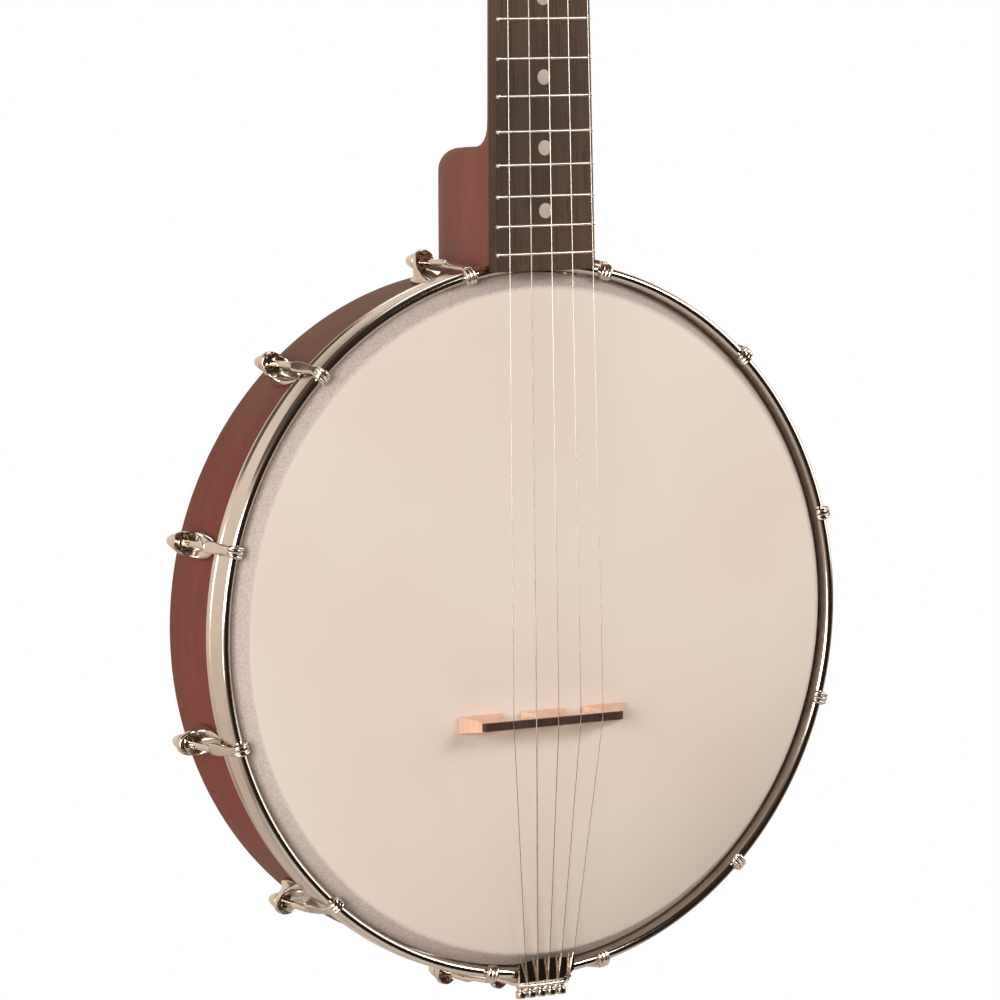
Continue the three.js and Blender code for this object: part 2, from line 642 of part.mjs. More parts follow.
// The arches bulge above the feet, so each leg has a narrow waist.
function makeBridgeBase() {
  const top = CAP_TOP_Y + CAP_THICKNESS + GAP;
  const beam = top + BEAM_DEPTH;
  const front = new THREE.Shape();
  front.moveTo(CAP_RANGE[0], top);
  front.lineTo(CAP_RANGE[0] - 1, beam);
  BRIDGE_FEET.forEach(([low, high], index) => {
    front.lineTo(low, -GAP);
    front.lineTo(high, -GAP);
    const next = BRIDGE_FEET[index + 1];
    if (next) {
      const rise = (4 * beam + GAP) / 3;
      front.bezierCurveTo(high - ARCH_BULGE, rise, next[0] + ARCH_BULGE, rise, next[0], -GAP);
    }
  });
  front.lineTo(CAP_RANGE[1] + 1, beam);
  front.lineTo(CAP_RANGE[1], top);
  const geometry = new THREE.ExtrudeGeometry(front, { depth: 2, bevelEnabled: false, curveSegments: 8 });
  const points = geometry.attributes.position;
  for (let i = 0; i < points.count; i += 1) {
    const y = points.getY(i);
    const half = THREE.MathUtils.mapLinear(y, 0, top, BRIDGE_BASE_HALF, BRIDGE_TOP_HALF);
    points.setZ(i, BRIDGE_Z + (points.getZ(i) - 1) * half);
  }
  return toSolid(geometry);
}

function makeBridgeCap() {
  const [low, high] = CAP_RANGE;
  const bottom = CAP_TOP_Y + CAP_THICKNESS;
  const shape = polygon([[low, bottom], [low, CAP_TOP_Y + 0.6], [low + 1.5, CAP_TOP_Y],
    [high - 1.5, CAP_TOP_Y], [high, CAP_TOP_Y + 0.6], [high, bottom]].reverse());
  const geometry = new THREE.ExtrudeGeometry(shape, { depth: 2 * BRIDGE_TOP_HALF, bevelEnabled: false });
  return toSolid(geometry.translate(0, 0, BRIDGE_Z - BRIDGE_TOP_HALF));
}

addPiece('bridge_base', makeBridgeBase(), maple);
addPiece('bridge_cap', makeBridgeCap(), ebony);

// ---- Tailpiece: a bent plate over the hoop, five string posts, and its hanger bolt ----
const PLATE_HALF_WIDTH = 13;
const PLATE_CENTRE_X = 0.6;
const PLATE_THICKNESS = 1.2;
const SKIRT_END_Y = 17;

function makeTailpiece() {
  const outer = PLATE_OUTER_Z;
  const side = polygon([
    [PLATE_TOP_Y, PLATE_INNER_Z], [PLATE_TOP_Y + PLATE_THICKNESS, PLATE_INNER_Z],
    [PLATE_TOP_Y + PLATE_THICKNESS, outer + 1.6], [PLATE_TOP_Y + 2, outer + PLATE_THICKNESS],
    [SKIRT_END_Y, outer + PLATE_THICKNESS], [SKIRT_END_Y, outer],
    [PLATE_TOP_Y + 1.4, outer], [PLATE_TOP_Y, outer + 1.4],
  ]);
  const plate = slab(side, PLATE_CENTRE_X - PLATE_HALF_WIDTH, PLATE_CENTRE_X + PLATE_HALF_WIDTH, 'yz');
  const posts = [0, 1, 2, 3, 4].map((index) => toSolid(turned([
    [0, -2], [1.7, -2], [1.7, 1.2], [1.2, 2], [1.9, 2.6], [1.9, 3.4], [0, 4.1],
  ], 8).rotateX(-Math.PI / 2).translate(PLATE_CENTRE_X + (2 - index) * 4.8, PLATE_TOP_Y + 3, outer)));
  const ear = bar(
    new THREE.Vector3(0, SKIRT_END_Y - 2, -HOOK_AXIS_R),
    new THREE.Vector3(0, SKIRT_END_Y + 2, -HOOK_AXIS_R),
    3.8,
  );
  const earHole = bar(
    new THREE.Vector3(0, SKIRT_END_Y - 4, -HOOK_AXIS_R),
    new THREE.Vector3(0, SKIRT_END_Y + 3, -HOOK_AXIS_R),
    HOOK_ROD_R + GAP + 0.1,
  );
  const potRelief = toSolid(turned([
    [0, 0.4], [HOOP_OUTER_R + GAP, 0.4], [HOOP_OUTER_R + GAP, 30], [0, 30],
  ], RING_SEGMENTS));
  const headSlot = box(-3.2, 3.2, SKIRT_END_Y - 6, SKIRT_END_Y - 2, outer - 6, outer + 6);
  return join(cut(join(plate, ear), potRelief, earHole, headSlot), ...posts);
}

function makeTailpieceHanger() {
  const head = bar(
    new THREE.Vector3(0, SKIRT_END_Y - 5, -HOOK_AXIS_R),
    new THREE.Vector3(0, SKIRT_END_Y - 2 - GAP, -HOOK_AXIS_R),
    2.5,
    2.5,
    6,
  );
  const rod = bar(
    new THREE.Vector3(0, SKIRT_END_Y - 3, -HOOK_AXIS_R),
    new THREE.Vector3(0, NUT_FRONT_Y + 3, -HOOK_AXIS_R),
    HOOK_ROD_R,
  );
  const nut = moved(makeDomeNut(NUT_FRONT_Y, NUT_LENGTH), aroundPot(180));
  return join(head, rod, nut);
}

addPiece('tailpiece', makeTailpiece(), nickel);
addPiece('tailpiece_hanger', makeTailpieceHanger(), nickel);

// ---- Coordinator rod through the pot, screwed into the heel, and its jam nut ----
function makeCoordinatorRod() {
  const body = bar(
    new THREE.Vector3(0, ROD_Y, -RIM_INNER_R + 5),
    new THREE.Vector3(0, ROD_Y, RIM_INNER_R - 8),
    ROD_R,
  );
  const stud = bar(
    new THREE.Vector3(0, ROD_Y, RIM_INNER_R - 9),
    new THREE.Vector3(0, ROD_Y, RIM_OUTER_R + 24),
    STUD_R,
  );
  return join(body, stud);
}

function makeRodNut() {
  const nut = bar(
    new THREE.Vector3(0, ROD_Y, RIM_INNER_R - 6.6),
    new THREE.Vector3(0, ROD_Y, RIM_INNER_R - 0.9),
    7,
    7,
    6,
  );
  const hole = bar(
    new THREE.Vector3(0, ROD_Y, RIM_INNER_R - 8),
    new THREE.Vector3(0, ROD_Y, RIM_INNER_R + 1),
    STUD_R + GAP,
  );
  return cut(nut, hole);
}

addPiece('coordinator_rod', makeCoordinatorRod(), steel);
addPiece('rod_nut', makeRodNut(), steel);

// ---- Peghead hardware: truss rod cover and four planetary tuners ----
const coverShape = polygon([[-9, 9], [9, 9], [8, 20], [0, 34], [-8, 20]]);
addPiece(
  'truss_rod_cover',
  moved(slab(coverShape, PEGHEAD_FRONT_Y - GAP - 1.5, PEGHEAD_FRONT_Y - GAP, 'xz'), pegheadFrame),
  blackPlastic,
);

const PEGHEAD_BACK_Y = PEGHEAD_FRONT_Y + PEGHEAD_THICKNESS;

// Profiles along the tuner's axis: y is measured through the peghead, from front to back.
function makeTunerHousing() {
  const bore = POST_R + GAP;
  return turned([
    [bore, PEGHEAD_FRONT_Y - 2.6], [6, PEGHEAD_FRONT_Y - 2.6], [6.6, PEGHEAD_FRONT_Y - GAP],
    [TUNER_HOLE_R - GAP, PEGHEAD_FRONT_Y - GAP], [TUNER_HOLE_R - GAP, PEGHEAD_BACK_Y + GAP],
    [8.4, PEGHEAD_BACK_Y + GAP], [8.6, PEGHEAD_BACK_Y + 9], [7.2, PEGHEAD_BACK_Y + 12],
    [bore, PEGHEAD_BACK_Y + 12],
  ]);
}

function makeTunerPost() {
  return turned([
    [0, PEGHEAD_FRONT_Y - 17], [POST_R - 0.5, PEGHEAD_FRONT_Y - 17], [POST_R, PEGHEAD_FRONT_Y - 16],
    [POST_R, PEGHEAD_FRONT_Y - 10], [POST_R - 0.4, PEGHEAD_FRONT_Y - 8], [POST_R, PEGHEAD_FRONT_Y - 6],
    [POST_R, PEGHEAD_BACK_Y + 4], [0, PEGHEAD_BACK_Y + 4],
  ]);
}

function makeKnob(startY) {
  const stem = toSolid(turned([
    [0, startY], [POST_R - 0.2, startY], [POST_R - 0.2, startY + 9], [0, startY + 9],
  ]));
  const grip = toSolid(turned([
    [0, 0], [4.6, 0], [6.6, 3], [6.9, 7], [5.6, 11], [3.2, 13], [0, 13.6],
  ]).scale(1.35, 1, 0.8).translate(0, startY + 8.4, 0));
  return join(stem, grip);
}

function makePegAt(x, z) {
  return pegheadFrame.clone().multiply(new THREE.Matrix4().makeTranslation(x, 0, z));
}

tunerCentres().forEach(([x, z], index) => {
  const label = index + 1;
  const place = makePegAt(x, z);
  addPiece(`tuner_housing_${label}`, makeTunerHousing(), nickel, place);
  addPiece(`tuner_post_${label}`, makeTunerPost(), nickel, place);
  addPiece(`tuner_button_${label}`, makeKnob(PEGHEAD_BACK_Y + 5), pearloid, place);
});

// ---- Fifth string peg: a bushing pressed in the neck's side and the peg that turns in it ----
const pegSide = lean.clone()
  .multiply(new THREE.Matrix4().makeTranslation(bassX(FIFTH_PEG_Z), FIFTH_PEG_Y, FIFTH_PEG_Z))
  .multiply(new THREE.Matrix4().makeRotationZ(Math.PI / 2));

function makeFifthBushing() {
  return turned([
    [2.2, -12], [FIFTH_SHANK_R, -12], [FIFTH_SHANK_R, 0.8], [4.6, 0.8], [4.6, 2.4], [2.2, 2.4],
  ]);
}

function makeFifthPeg() {
  const shaft = toSolid(turned([
    [0, -11], [1.9, -11], [1.9, 2.8], [3.2, 2.8], [2.6, 4.6], [3.4, 7], [3.4, 8.6], [2, 9], [2, 13], [0, 13],
  ]));
  const grip = toSolid(turned([
    [0, 0], [4.2, 0], [5.8, 3], [6, 6.4], [5, 9.6], [3, 11.4], [0, 12],
  ]).scale(0.8, 1, 1.35).translate(0, 11.6, 0));
  return join(shaft, grip);
}

addPiece('fifth_peg_bushing', makeFifthBushing(), nickel, pegSide);
addPiece('fifth_peg', makeFifthPeg(), pearloid, pegSide);

export default banjo;
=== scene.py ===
"""Looks for the open-back banjo: detailed pieces on the CAD frame, procedural materials, stage and camera."""
import math

import bmesh
import bpy
import numpy as np
from mathutils import Matrix, Vector


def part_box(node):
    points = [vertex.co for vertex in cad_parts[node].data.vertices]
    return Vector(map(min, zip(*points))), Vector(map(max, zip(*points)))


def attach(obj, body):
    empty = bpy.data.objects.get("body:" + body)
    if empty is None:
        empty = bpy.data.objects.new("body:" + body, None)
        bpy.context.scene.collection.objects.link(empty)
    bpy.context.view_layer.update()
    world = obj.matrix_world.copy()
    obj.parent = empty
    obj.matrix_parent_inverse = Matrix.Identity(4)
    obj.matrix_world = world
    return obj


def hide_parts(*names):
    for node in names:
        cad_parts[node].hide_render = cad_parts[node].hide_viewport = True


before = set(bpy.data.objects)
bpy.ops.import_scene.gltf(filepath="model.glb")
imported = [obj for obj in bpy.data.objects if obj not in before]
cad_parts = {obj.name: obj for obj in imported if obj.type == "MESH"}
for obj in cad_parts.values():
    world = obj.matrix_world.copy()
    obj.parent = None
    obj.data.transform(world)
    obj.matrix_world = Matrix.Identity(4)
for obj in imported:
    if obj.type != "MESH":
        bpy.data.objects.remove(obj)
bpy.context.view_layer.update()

# ---------------------------------------------------------------- the frame
# Sizes are in mm around the pot: X to the treble side, Y from the head to the back, Z up the neck.
MM = 0.001
RIM_LOW, RIM_HIGH = (np.array(corner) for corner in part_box("rim"))
HEAD_LOW = np.array(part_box("head")[0])
POT = np.array([(RIM_LOW[0] + RIM_HIGH[0]) / 2, HEAD_LOW[1], (RIM_LOW[2] + RIM_HIGH[2]) / 2])

# the pot
RIM_INNER_R, RIM_OUTER_R = 127, 139.7
RIM_FRONT_Y, RIM_BACK_Y = 6.4, 56.2
HOOK_AXIS_R = 148
BOLT_Y = 35
ROD_Y = BOLT_Y
FIRST_HOOK_DEG = 13
HOOK_STEP_DEG = 31.3
BASS_TURN_DEG = 0.35
LOWEST_TURN_DEG = 1.07
TREBLE_HOOKS = [FIRST_HOOK_DEG + HOOK_STEP_DEG * i for i in range(6)]
BASS_HOOKS = [BASS_TURN_DEG - angle for angle in TREBLE_HOOKS]
for hooks in (TREBLE_HOOKS, BASS_HOOKS):
    hooks[-1] -= LOWEST_TURN_DEG
HOOK_ANGLES = TREBLE_HOOKS + BASS_HOOKS[::-1]

# the neck
SCALE_LENGTH = 666.7
BRIDGE_Z = -39
NUT_Z = BRIDGE_Z + SCALE_LENGTH
FRET_COUNT = 22
NECK_TILT = 0.009
PEGHEAD_ANGLE = math.radians(13)
PEGHEAD_START_Z = NUT_Z + 5
PEGHEAD_FRONT_Y = -1.2
PEGHEAD_THICKNESS = 14
PEGHEAD_BACK_Y = PEGHEAD_FRONT_Y + PEGHEAD_THICKNESS
NUT_TREBLE_X = 18.3
NUT_BASS_X = -10.4
BODY_HALF_WIDTH = 23.3
BASS_TAPER = 0.0165
STEP_LENGTH = 18
STEP_TOP_X = -13.2
BOARD_THICKNESS = 5.2


def fret_z(fret):
    return NUT_Z - SCALE_LENGTH * (1 - 2 ** (-fret / 12))


LAST_FRET_Z = fret_z(FRET_COUNT)
FIFTH_Z = fret_z(5)


def lerp(a, b, t):
    return a + (b - a) * t


def smooth(t):
    t = np.clip(t, 0, 1)
    return t * t * (3 - 2 * t)


def treble_x(z):
    """The neck's treble edge at a height."""
    return lerp(BODY_HALF_WIDTH, NUT_TREBLE_X, (z - LAST_FRET_Z) / (NUT_Z - LAST_FRET_Z))


def bass_x(z):
    """The neck's bass edge at a height, which steps inwards above the drone string's fret."""
    body = -BODY_HALF_WIDTH + BASS_TAPER * (np.minimum(z, FIFTH_Z) - LAST_FRET_Z)
    step_end = FIFTH_Z + STEP_LENGTH
    head = lerp(STEP_TOP_X, NUT_BASS_X, (z - step_end) / (NUT_Z - step_end))
    return lerp(body, head, smooth((z - FIFTH_Z) / STEP_LENGTH))


def shift(x, y, z):
    return Matrix.Translation((x, y, z))


def turn(angle, axis):
    return Matrix.Rotation(angle, 4, axis)


def around_pot(degrees):
    return turn(math.radians(degrees), "Y")


# the neck leans back from the last fret, and the peghead leans further back from the nut
LEAN = shift(0, 0, LAST_FRET_Z) @ turn(-NECK_TILT, "X") @ shift(0, 0, -LAST_FRET_Z)
PEGHEAD = LEAN @ shift((NUT_TREBLE_X + NUT_BASS_X) / 2, 0, PEGHEAD_START_Z) @ turn(-PEGHEAD_ANGLE, "X")


# ---------------------------------------------------------------- mesh building
# A shape is (points, faces).
def put(points, matrix):
    m = np.array(matrix)
    p = np.asarray(points, float)
    return p @ m[:3, :3].T + m[:3, 3]


def placed(shape, matrix):
    points, faces = shape
    return put(points, matrix), faces


def merge(*parts):
    """Several shapes as one."""
    points, faces, start = [], [], 0
    for p, f in parts:
        p = np.asarray(p, float)
        points.append(p)
        faces += [tuple(i + start for i in face) for face in f]
        start += len(p)
    return np.vstack(points), faces


def grid_faces(rows, columns, close_rows=False, close_columns=False):
    faces = []
    for i in range(rows if close_rows else rows - 1):
        for j in range(columns if close_columns else columns - 1):
            i2, j2 = (i + 1) % rows, (j + 1) % columns
            faces.append((i * columns + j, i * columns + j2, i2 * columns + j2, i2 * columns + j))
    return faces


def loft(sections):
    """A skin over closed sections, each an (n, 3) array of the same n points, with a cap at each end."""
    count, around = len(sections), len(sections[0])
    points = np.vstack(sections)
    faces = grid_faces(count, around, close_columns=True)
    faces.append(tuple(range(around - 1, -1, -1)))
    faces.append(tuple((count - 1) * around + j for j in range(around)))
    return points, faces


def circle(count):
    """Angles evenly round a full turn."""
    return np.linspace(0, 2 * math.pi, count, endpoint=False)


def lathe(profile, segments=48, closed=False):
    """A profile of (radius, y) turned about the Y axis, from axis to axis or closed on itself."""
    angles = circle(segments)
    rows = [np.column_stack((r * np.sin(angles), np.full(segments, y), r * np.cos(angles)))
            for r, y in profile]
    return np.vstack(rows), grid_faces(len(profile), segments, close_rows=closed, close_columns=True)


def rounded(profile, radius, steps=4, closed=True):
    """The same outline with its corners rounded; radius is one number, or one for each corner."""
    points = [np.array(p, float) for p in profile]
    radii = [radius] * len(points) if np.isscalar(radius) else radius
    out = []
    for i, corner in enumerate(points):
        is_end = not closed and i in (0, len(points) - 1)
        if is_end or radii[i] <= 0:
            out.append(corner)
            continue
        before, after = points[i - 1] - corner, points[(i + 1) % len(points)] - corner
        reach = min(radii[i], 0.49 * np.linalg.norm(before), 0.49 * np.linalg.norm(after))
        a = corner + before / np.linalg.norm(before) * reach
        b = corner + after / np.linalg.norm(after) * reach
        for t in np.linspace(0, 1, steps + 1):
            out.append((1 - t) ** 2 * a + 2 * t * (1 - t) * corner + t * t * b)
    return np.array(out)


def spindle(profile, radius, steps, segments):
    """A solid of revolution whose profile starts and ends on the axis, with rounded corners."""
    return lathe(rounded(profile, radius, steps, closed=False), segments)


def collar(profile, radius, steps, segments):
    """A ring whose profile closes on itself, with rounded corners."""
    return lathe(rounded(profile, radius, steps), segments, True)


def prism(outline, low, high, plane="xz"):
    """An outline thickened between two heights: plane xz along Y, plane yz along X, plane xy along Z."""
    outline = np.asarray(outline, float)
    u, v = outline[:, 0], outline[:, 1]
    rows = []
    for h in (low, high):
        w = np.full(len(u), float(h))
        rows.append(np.column_stack({"xz": (u, w, v), "yz": (w, u, v), "xy": (u, v, w)}[plane]))
    return loft(rows)


def hexagon(radius):
    return [(radius * math.sin(a), radius * math.cos(a)) for a in circle(6)]


def tangents(path):
    ahead = np.gradient(path, axis=0)
    return ahead / np.linalg.norm(ahead, axis=1)[:, None]


def tube(path, radius, sides):
    """A round tube along a path of points, with one radius or one for each point."""
    path = np.asarray(path, float)
    radii = np.full(len(path), float(radius)) if np.isscalar(radius) else np.asarray(radius, float)
    ahead = tangents(path)
    side = np.cross(ahead[0], [0.31, 0.87, 0.2])
    sections = []
    angles = circle(sides)
    for p, r, d in zip(path, radii, ahead):
        side = side - d * np.dot(side, d)
        side /= np.linalg.norm(side)
        up = np.cross(d, side)
        sections.append(p + r * (np.cos(angles)[:, None] * side + np.sin(angles)[:, None] * up))
    return loft(sections)


def catmull(points, steps):
    """A smooth curve through points."""
    p = np.asarray(points, float)
    p = np.vstack((2 * p[0] - p[1], p, 2 * p[-1] - p[-2]))
    out = []
    for i in range(1, len(p) - 2):
        a, b, c, d = p[i - 1], p[i], p[i + 1], p[i + 2]
        for t in np.linspace(0, 1, steps, endpoint=False):
            out.append(0.5 * (2 * b + (c - a) * t + (2 * a - 5 * b + 4 * c - d) * t**2
                              + (3 * b - a - 3 * c + d) * t**3))
    out.append(p[-2])
    return np.array(out)


def squared(wave, power):
    """A sine or cosine that draws a circle at power 2, and a squarer round above it."""
    return np.sign(wave) * np.abs(wave) ** (2 / power)


def piece(name, shape, material, nodes=(), body="banjo", edges=35, bevel=0.0):
    """A finished object in the frame: smooth shaded, riding on its body, standing for its CAD nodes."""
    points, faces = shape
    mesh = bpy.data.meshes.new(name)
    mesh.from_pydata((POT + np.asarray(points) * MM).tolist(), [], faces)
    work = bmesh.new()
    work.from_mesh(mesh)
    bmesh.ops.remove_doubles(work, verts=work.verts, dist=1e-7)
    bmesh.ops.recalc_face_normals(work, faces=work.faces)
    work.to_mesh(mesh)
    work.free()
    mesh.shade_smooth()
    mesh.set_sharp_from_angle(angle=math.radians(edges))
    mesh.materials.append(material)
    obj = bpy.data.objects.new(name, mesh)
    bpy.context.scene.collection.objects.link(obj)
    if bevel:
        soft = obj.modifiers.new("soft_edges", "BEVEL")
        soft.width = bevel * MM
        soft.segments = 2
        soft.limit_method = "ANGLE"
        soft.angle_limit = math.radians(30)
        soft.harden_normals = True
    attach(obj, body)
    if nodes:
        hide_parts(*([nodes] if isinstance(nodes, str) else nodes))


# ---------------------------------------------------------------- camera
CAMERA_POINT = np.array([-1093.8, -1759.5, 247.6])
YAW, PITCH, ROLL = (math.radians(a) for a in (31.415, -5.47, -0.51))
FOCAL_MM = 186.8


def make_camera():
    ahead = Vector((math.sin(YAW) * math.cos(PITCH), math.cos(YAW) * math.cos(PITCH), math.sin(PITCH)))
    level = Vector((math.cos(YAW), -math.sin(YAW), 0))
    above = level.cross(ahead)
    right = math.cos(ROLL) * level + math.sin(ROLL) * above
    up = math.cos(ROLL) * above - math.sin(ROLL) * level
    camera = bpy.data.objects.new("camera", bpy.data.cameras.new("camera"))
    camera.data.lens = FOCAL_MM
    camera.data.sensor_width = 36
    camera.data.clip_end = 100
    facing = Matrix((right, up, -ahead)).transposed().to_4x4()
    camera.matrix_world = Matrix.Translation(Vector(POT + CAMERA_POINT * MM)) @ facing
    bpy.context.scene.collection.objects.link(camera)
    bpy.context.scene.camera = camera


make_camera()


# ---------------------------------------------------------------- materials
class Nodes:
    """Short names for building the node tree of a material or a world."""

    def __init__(self, owner):
        owner.use_nodes = True
        self.owner = owner
        self.tree = owner.node_tree

    def link(self, a, b):
        self.tree.links.new(a, b)

    def make(self, kind, inputs=None, **settings):
        made = self.tree.nodes.new(kind)
        for key, value in settings.items():
            setattr(made, key, value)
        for key, value in (inputs or {}).items():
            if isinstance(value, bpy.types.NodeSocket):
                self.link(value, made.inputs[key])
            else:
                made.inputs[key].default_value = value
        return made

    def math(self, operation, a, b=0.0):
        return self.make("ShaderNodeMath", {0: a, 1: b}, operation=operation).outputs[0]

    def parts(self, vector):
        return self.make("ShaderNodeSeparateXYZ", {0: vector}).outputs

    def noise(self, vector, scale, detail=4.0, rough=0.55, distortion=0.0):
        made = self.make("ShaderNodeTexNoise", {
            "Vector": vector, "Scale": scale, "Detail": detail, "Roughness": rough, "Distortion": distortion})
        return made.outputs["Fac"]

    def ramp(self, value, *stops):
        made = self.make("ShaderNodeValToRGB", {"Fac": value})
        elements = made.color_ramp.elements
        while len(elements) < len(stops):
            elements.new(0.5)
        for element, (place, colour) in zip(elements, stops):
            element.position = place
            element.color = (*colour, 1)
        return made.outputs["Color"]

    def fade(self, value, start, end, before=0, after=1):
        """Goes from one strength to another as value goes from start to end."""
        return self.ramp(value, (start, (before,) * 3), (end, (after,) * 3))

    def map_range(self, value, low=0, high=1, to_low=0, to_high=1):
        return self.make("ShaderNodeMapRange", {0: value, 1: low, 2: high, 3: to_low, 4: to_high}).outputs[0]

    def scaled(self, vector, scale):
        return self.make("ShaderNodeVectorMath", {0: vector, 1: scale}, operation="MULTIPLY").outputs[0]

    def mix(self, factor, a, b, blend="MIX"):
        made = self.make("ShaderNodeMix", {"Factor": factor}, data_type="RGBA", blend_type=blend)
        for key, value in ((6, a), (7, b)):
            if isinstance(value, bpy.types.NodeSocket):
                self.link(value, made.inputs[key])
            else:
                made.inputs[key].default_value = (*value, 1)
        return made.outputs[2]

    def place(self):
        return self.make("ShaderNodeTexCoord").outputs["Object"]

    def around(self):
        """The place as (depth, radius, length round the rim) about the pot's axis; the radius; the height."""
        parts = self.parts(self.place())
        x = self.math("SUBTRACT", parts[0], float(POT[0]))
        z = self.math("SUBTRACT", parts[2], float(POT[2]))
        radius = self.math("SQRT", self.math("ADD", self.math("MULTIPLY", x, x), self.math("MULTIPLY", z, z)))
        along = self.math("MULTIPLY", self.math("ARCTAN2", x, z), 0.14)
        return self.make("ShaderNodeCombineXYZ", {0: parts[1], 1: radius, 2: along}).outputs[0], radius, z

    def finish(self, colour=None, roughness=None, bump=None, strength=0.2, distance=0.0002, **constants):
        """Ends a material: colour, roughness and bump into its shader, and constants on its sockets."""
        shader = self.tree.nodes["Principled BSDF"]
        for key, value in (("Base Color", colour), ("Roughness", roughness)):
            if isinstance(value, bpy.types.NodeSocket):
                self.link(value, shader.inputs[key])
            elif value is not None:
                shader.inputs[key].default_value = (*value, 1) if key == "Base Color" else value
        if bump is not None:
            made = self.make("ShaderNodeBump", {"Height": bump, "Strength": strength, "Distance": distance})
            self.link(made.outputs[0], shader.inputs["Normal"])
        for key, value in constants.items():
            shader.inputs[key.replace("_", " ")].default_value = value
        return self.owner


def material_nodes(name):
    return Nodes(bpy.data.materials.new(name))


def srgb(r, g, b):
    """A colour given as display values from 0 to 255."""
    return tuple(((v / 255 + 0.055) / 1.055) ** 2.4 if v > 10 else v / 255 / 12.92 for v in (r, g, b))


def darker(share, colour):
    return tuple(share * v for v in colour)


# painted sheen colour for the top and bottom of the rim
PAINTED_RIM_SHEEN = srgb(124, 92, 74)


def wood(name, dark, light, red, ring=False, pores=0.5, roughness=(0.42, 0.58), streak=1.0, specular=0.3):
    """Straight-grained wood: broad streaks, fine figure and short dark pores along the grain."""
    n = material_nodes(name)
    if ring:
        vector, _, height = n.around()
    else:
        vector = n.place()
    broad = n.noise(n.scaled(vector, (1, 1, 0.12)), 42 * streak, 3, 0.5, 0.4)
    fine = n.noise(n.scaled(vector, (1, 1, 0.07)), 420, 5, 0.65)
    pore = n.noise(n.scaled(vector, (1, 1, 0.035)), 1500, 2, 0.5)
    colour = n.mix(n.fade(broad, 0.32, 0.68), dark, light)
    colour = n.mix(n.fade(n.noise(vector, 14, 2), 0.4, 0.65, after=0.6), colour, red)
    if ring:
        # painted sheen: paler and browner at the top and bottom of the rim, standing in for the clear coat
        # reflecting the walls
        sheen_share = n.map_range(n.math("ABSOLUTE", height), 0.070, 0.118, to_high=0.75)
        colour = n.mix(sheen_share, colour, PAINTED_RIM_SHEEN)
    colour = n.mix(n.fade(fine, 0.35, 0.62, before=0.28, after=0), colour, darker(0.5, dark))
    holes = n.fade(pore, 0.33, 0.43, before=1, after=0)
    depth = n.math("MULTIPLY", holes, pores)
    colour = n.mix(depth, colour, darker(0.3, dark))
    shine = n.map_range(fine, to_low=roughness[0], to_high=roughness[1])
    relief = n.math("SUBTRACT", n.math("MULTIPLY", fine, 0.35), depth)
    return n.finish(colour, shine, relief, 0.22, 0.00015, Specular_IOR_Level=specular)


def metal(name, colour, roughness, brushed=False, ring=False):
    """Plated or drawn metal with faint handling marks, and fine scratches if brushed."""
    smudge = 0.06
    n = material_nodes(name)
    vector = n.around()[0] if ring else n.place()
    cloud = n.noise(vector, 60, 4, 0.6)
    if brushed:
        marks = n.noise(n.scaled(vector, (1, 1, 0.03)), 2600, 3, 0.6)
    else:
        marks = n.noise(vector, 900, 3, 0.6)
    tone = n.mix(n.fade(cloud, 0.35, 0.7, after=0.5), colour, darker(0.82, colour))
    shine = n.map_range(cloud, 0.3, 0.75, roughness, roughness + smudge)
    return n.finish(tone, shine, marks, 0.10 if brushed else 0.02, 0.00005, Metallic=1.0)


def head_coating():
    """Frosted skin: sprayed white coating on the crown, thinner and greyer over the collar."""
    n = material_nodes("frosted_head")
    _, radius, height = n.around()
    cloud = n.noise(n.place(), 9, 3, 0.5)
    grit = n.noise(n.place(), 2600, 2, 0.6)
    speckle = n.noise(n.place(), 1100, 3, 0.7)
    crown = n.mix(n.fade(cloud, 0.35, 0.7), srgb(231, 217, 205), srgb(237, 225, 213))
    bare = n.mix(n.fade(speckle, 0.42, 0.6), srgb(192, 178, 170), srgb(212, 200, 193))
    # painted shade: the crown darker and greyer low on the treble side, where the light falls off
    low = n.math("SUBTRACT", n.math("MULTIPLY", n.parts(n.place())[0], 0.5), n.math("MULTIPLY", height, 0.87))
    painted_shade = n.ramp(n.map_range(low, 0.05, 0.13),
                  (0.0, (1, 1, 1)), (0.45, (0.95, 0.945, 0.94)), (1.0, (0.77, 0.755, 0.74)))
    crown = n.mix(1.0, crown, painted_shade, "MULTIPLY")
    colour = n.mix(n.map_range(radius, 0.1334, 0.1350), crown, bare)
    return n.finish(colour, 0.55, grit, 0.12, 0.0001, Specular_IOR_Level=0.35)


def plastic(name, colour, second, roughness, scale=60.0, swirl=1.5):
    """Moulded plastic or bone with a faint cloudy figure."""
    n = material_nodes(name)
    figure = n.noise(n.place(), scale, 4, 0.6, swirl)
    fine = n.noise(n.place(), 1800, 2)
    shine = n.map_range(fine, to_low=roughness - 0.05, to_high=roughness + 0.08)
    return n.finish(n.mix(n.fade(figure, 0.35, 0.65), colour, second), shine, fine, 0.1, 0.00004)


def wound_wire():
    """Wire with a fine winding: a ridge at every third of a millimetre up the string."""
    ridge_pitch = 0.00034
    n = material_nodes("wound_wire")
    ridge = n.math("SINE", n.math("MULTIPLY", n.parts(n.place())[2], 2 * math.pi / ridge_pitch))
    tone = n.mix(n.fade(n.noise(n.place(), 300), 0.4, 0.7), srgb(205, 196, 184), srgb(180, 168, 152))
    return n.finish(tone, 0.32, ridge, 0.35, 0.00003, Metallic=1.0)


